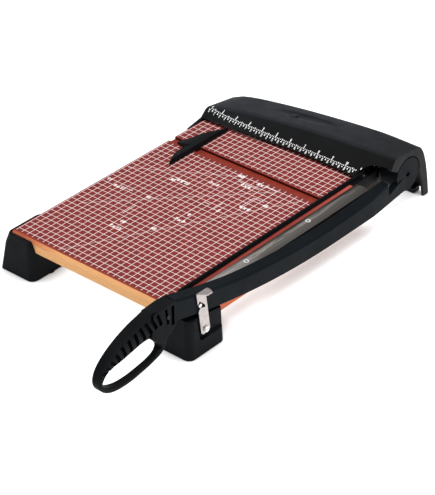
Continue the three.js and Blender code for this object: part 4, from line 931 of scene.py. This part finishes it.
def printed_ruler():
    """The ruler's marks and figures: inches above and half centimetres below."""
    bm = bmesh.new()
    for eighth in range(RULER_INCHES * EIGHTHS):
        mark = RULER_START + eighth * INCH / EIGHTHS
        if RULER_LEFT < mark < RULER_RIGHT:
            ruler_mark(bm, mark, INCH_FOOT, INCH_TOPS.get(eighth % EIGHTHS, SHORT_INCH_TOP), INCH_WIDTH)
    for inch in range(1, RULER_INCHES):
        ruler_figure(bm, str(inch), RULER_START + inch * INCH, *INCH_FIGURE)
    ruler_mark(bm, RULER_START + RULER_INCHES * INCH, *LAST_MARK, INCH_WIDTH)
    ruler_figure(bm, "0", RULER_LEFT + ZERO_FIGURE_INSET, *ZERO_FIGURE)
    steps = int((RULER_RIGHT - RULER_LEFT) / METRIC_STEP)
    for step in range(steps + 1):
        mark = RULER_LEFT + step * METRIC_STEP
        ruler_mark(bm, mark, *METRIC_MARK, METRIC_WIDTH)
        if step % 2 == 0:
            ruler_figure(bm, str(step // 2), mark, *METRIC_FIGURE)
    return bm


finished_print("ruler_print", printed_ruler(), ruler_ink)


# Studio, in metres

FLOOR_HALF_SIZE = 8.0
FLOOR_TONES = (0.42, 0.45)
FLOOR_GLOW = 1.0
# The floor glows less where something lies within this reach above it, by the share of sky left open
CONTACT_SHADOW_REACH = 0.038
CONTACT_SHADOW = ((0.3, 0.0), (0.56, 0.45), (0.84, 1.0))
CONTACT_SHADOW_RAYS = 12
# Painted shadow: the floor doesn't glow inside the head's walls, so it stays dark there: left and right,
# then front and rear, here in mm
SHADOW_UNDER_HEAD = ((-130.0, 122.0), (305.0, 394.0))
SHADOW_UNDER_HEAD_BLUR = 0.012
WORLD_STRENGTH = 0.52
# Softboxes as (name, place, side, power in watts)
SOFTBOXES = [
    ("overhead_softbox", (0.5, 0.3, 2.3), 1.6, 44.0),
    ("right_softbox", (2.3, -0.1, 1.0), 1.0, 7.0),
]


def floor_material():
    """A pale floor that glows white, with soft shadows, painted by its glow, where the object stands on it
    and inside the head's walls.
    """
    shader = Shader("studio_floor", 0.9, specular=0.0)
    shader.give("Base Color", shader.tones(shader.noise(3.0), FLOOR_TONES))
    shader.surface.inputs["Emission Color"].default_value = (*WHITE, 1.0)
    near = shader.tree.nodes.new("ShaderNodeAmbientOcclusion")
    near.samples = CONTACT_SHADOW_RAYS
    near.inputs["Distance"].default_value = CONTACT_SHADOW_REACH
    x, y = shader.coordinates("XY")
    (left, right), (front, rear) = SHADOW_UNDER_HEAD
    # The painted shadow inside the head's walls
    inside = shader.times(
        shader.window(x, at(left, 0.0).x, at(right, 0.0).x, SHADOW_UNDER_HEAD_BLUR),
        shader.window(y, at(0.0, front).y, at(0.0, rear).y, SHADOW_UNDER_HEAD_BLUR))
    glow = shader.times(shader.ramp(near.outputs["AO"], *CONTACT_SHADOW), shader.minus(1.0, inside))
    shader.give("Emission Strength", shader.times(glow, FLOOR_GLOW))
    return shader.material


def studio_camera():
    """The camera that took the photograph."""
    azimuth, elevation, roll = (math.radians(v) for v in (CAMERA_AZIMUTH, CAMERA_ELEVATION, CAMERA_ROLL))
    back = Vector((
        math.sin(azimuth) * math.cos(elevation),
        -math.cos(azimuth) * math.cos(elevation),
        math.sin(elevation),
    ))
    level = Vector((math.cos(azimuth), math.sin(azimuth), 0.0))
    upright = back.cross(level)
    right = level * math.cos(roll) + upright * math.sin(roll)
    up = back.cross(right)
    data = bpy.data.cameras.new("photo_camera")
    data.lens = CAMERA_LENS
    data.sensor_width = SENSOR_LONG_SIDE
    data.clip_start, data.clip_end = (distance * MM for distance in CAMERA_CLIP)
    camera = bpy.data.objects.new("photo_camera", data)
    turn = Matrix((right, up, back)).transposed().to_4x4()
    camera.matrix_world = Matrix.Translation(at(*CAMERA_FROM_GRID)) @ turn
    bpy.context.scene.collection.objects.link(camera)
    bpy.context.scene.camera = camera


def studio_floor():
    """The floor, which is stage and no part of the object."""
    bm = bmesh.new()
    bmesh.ops.create_grid(bm, x_segments=2, y_segments=2, size=FLOOR_HALF_SIZE)
    mesh = bpy.data.meshes.new("studio_floor")
    bm.to_mesh(mesh)
    bm.free()
    floor = bpy.data.objects.new("studio_floor", mesh)
    floor.data.materials.append(floor_material())
    bpy.context.scene.collection.objects.link(floor)


def studio_world():
    """Even white light from all round."""
    world = bpy.data.worlds.new("studio")
    world.use_nodes = True
    background = world.node_tree.nodes["Background"]
    background.inputs["Color"].default_value = (*WHITE, 1.0)
    background.inputs["Strength"].default_value = WORLD_STRENGTH
    bpy.context.scene.world = world


def softbox(name, place, side, power):
    """A square area light that shines at the origin."""
    data = bpy.data.lights.new(name, "AREA")
    data.shape = "RECTANGLE"
    data.size = side
    data.size_y = side
    data.energy = power
    light = bpy.data.objects.new(name, data)
    light.location = place
    light.rotation_mode = "QUATERNION"
    light.rotation_quaternion = (-Vector(place)).to_track_quat("-Z", "Y")
    bpy.context.scene.collection.objects.link(light)


studio_camera()
studio_floor()
studio_world()
for box in SOFTBOXES:
    softbox(*box)
bpy.context.scene.view_settings.view_transform = "Standard"
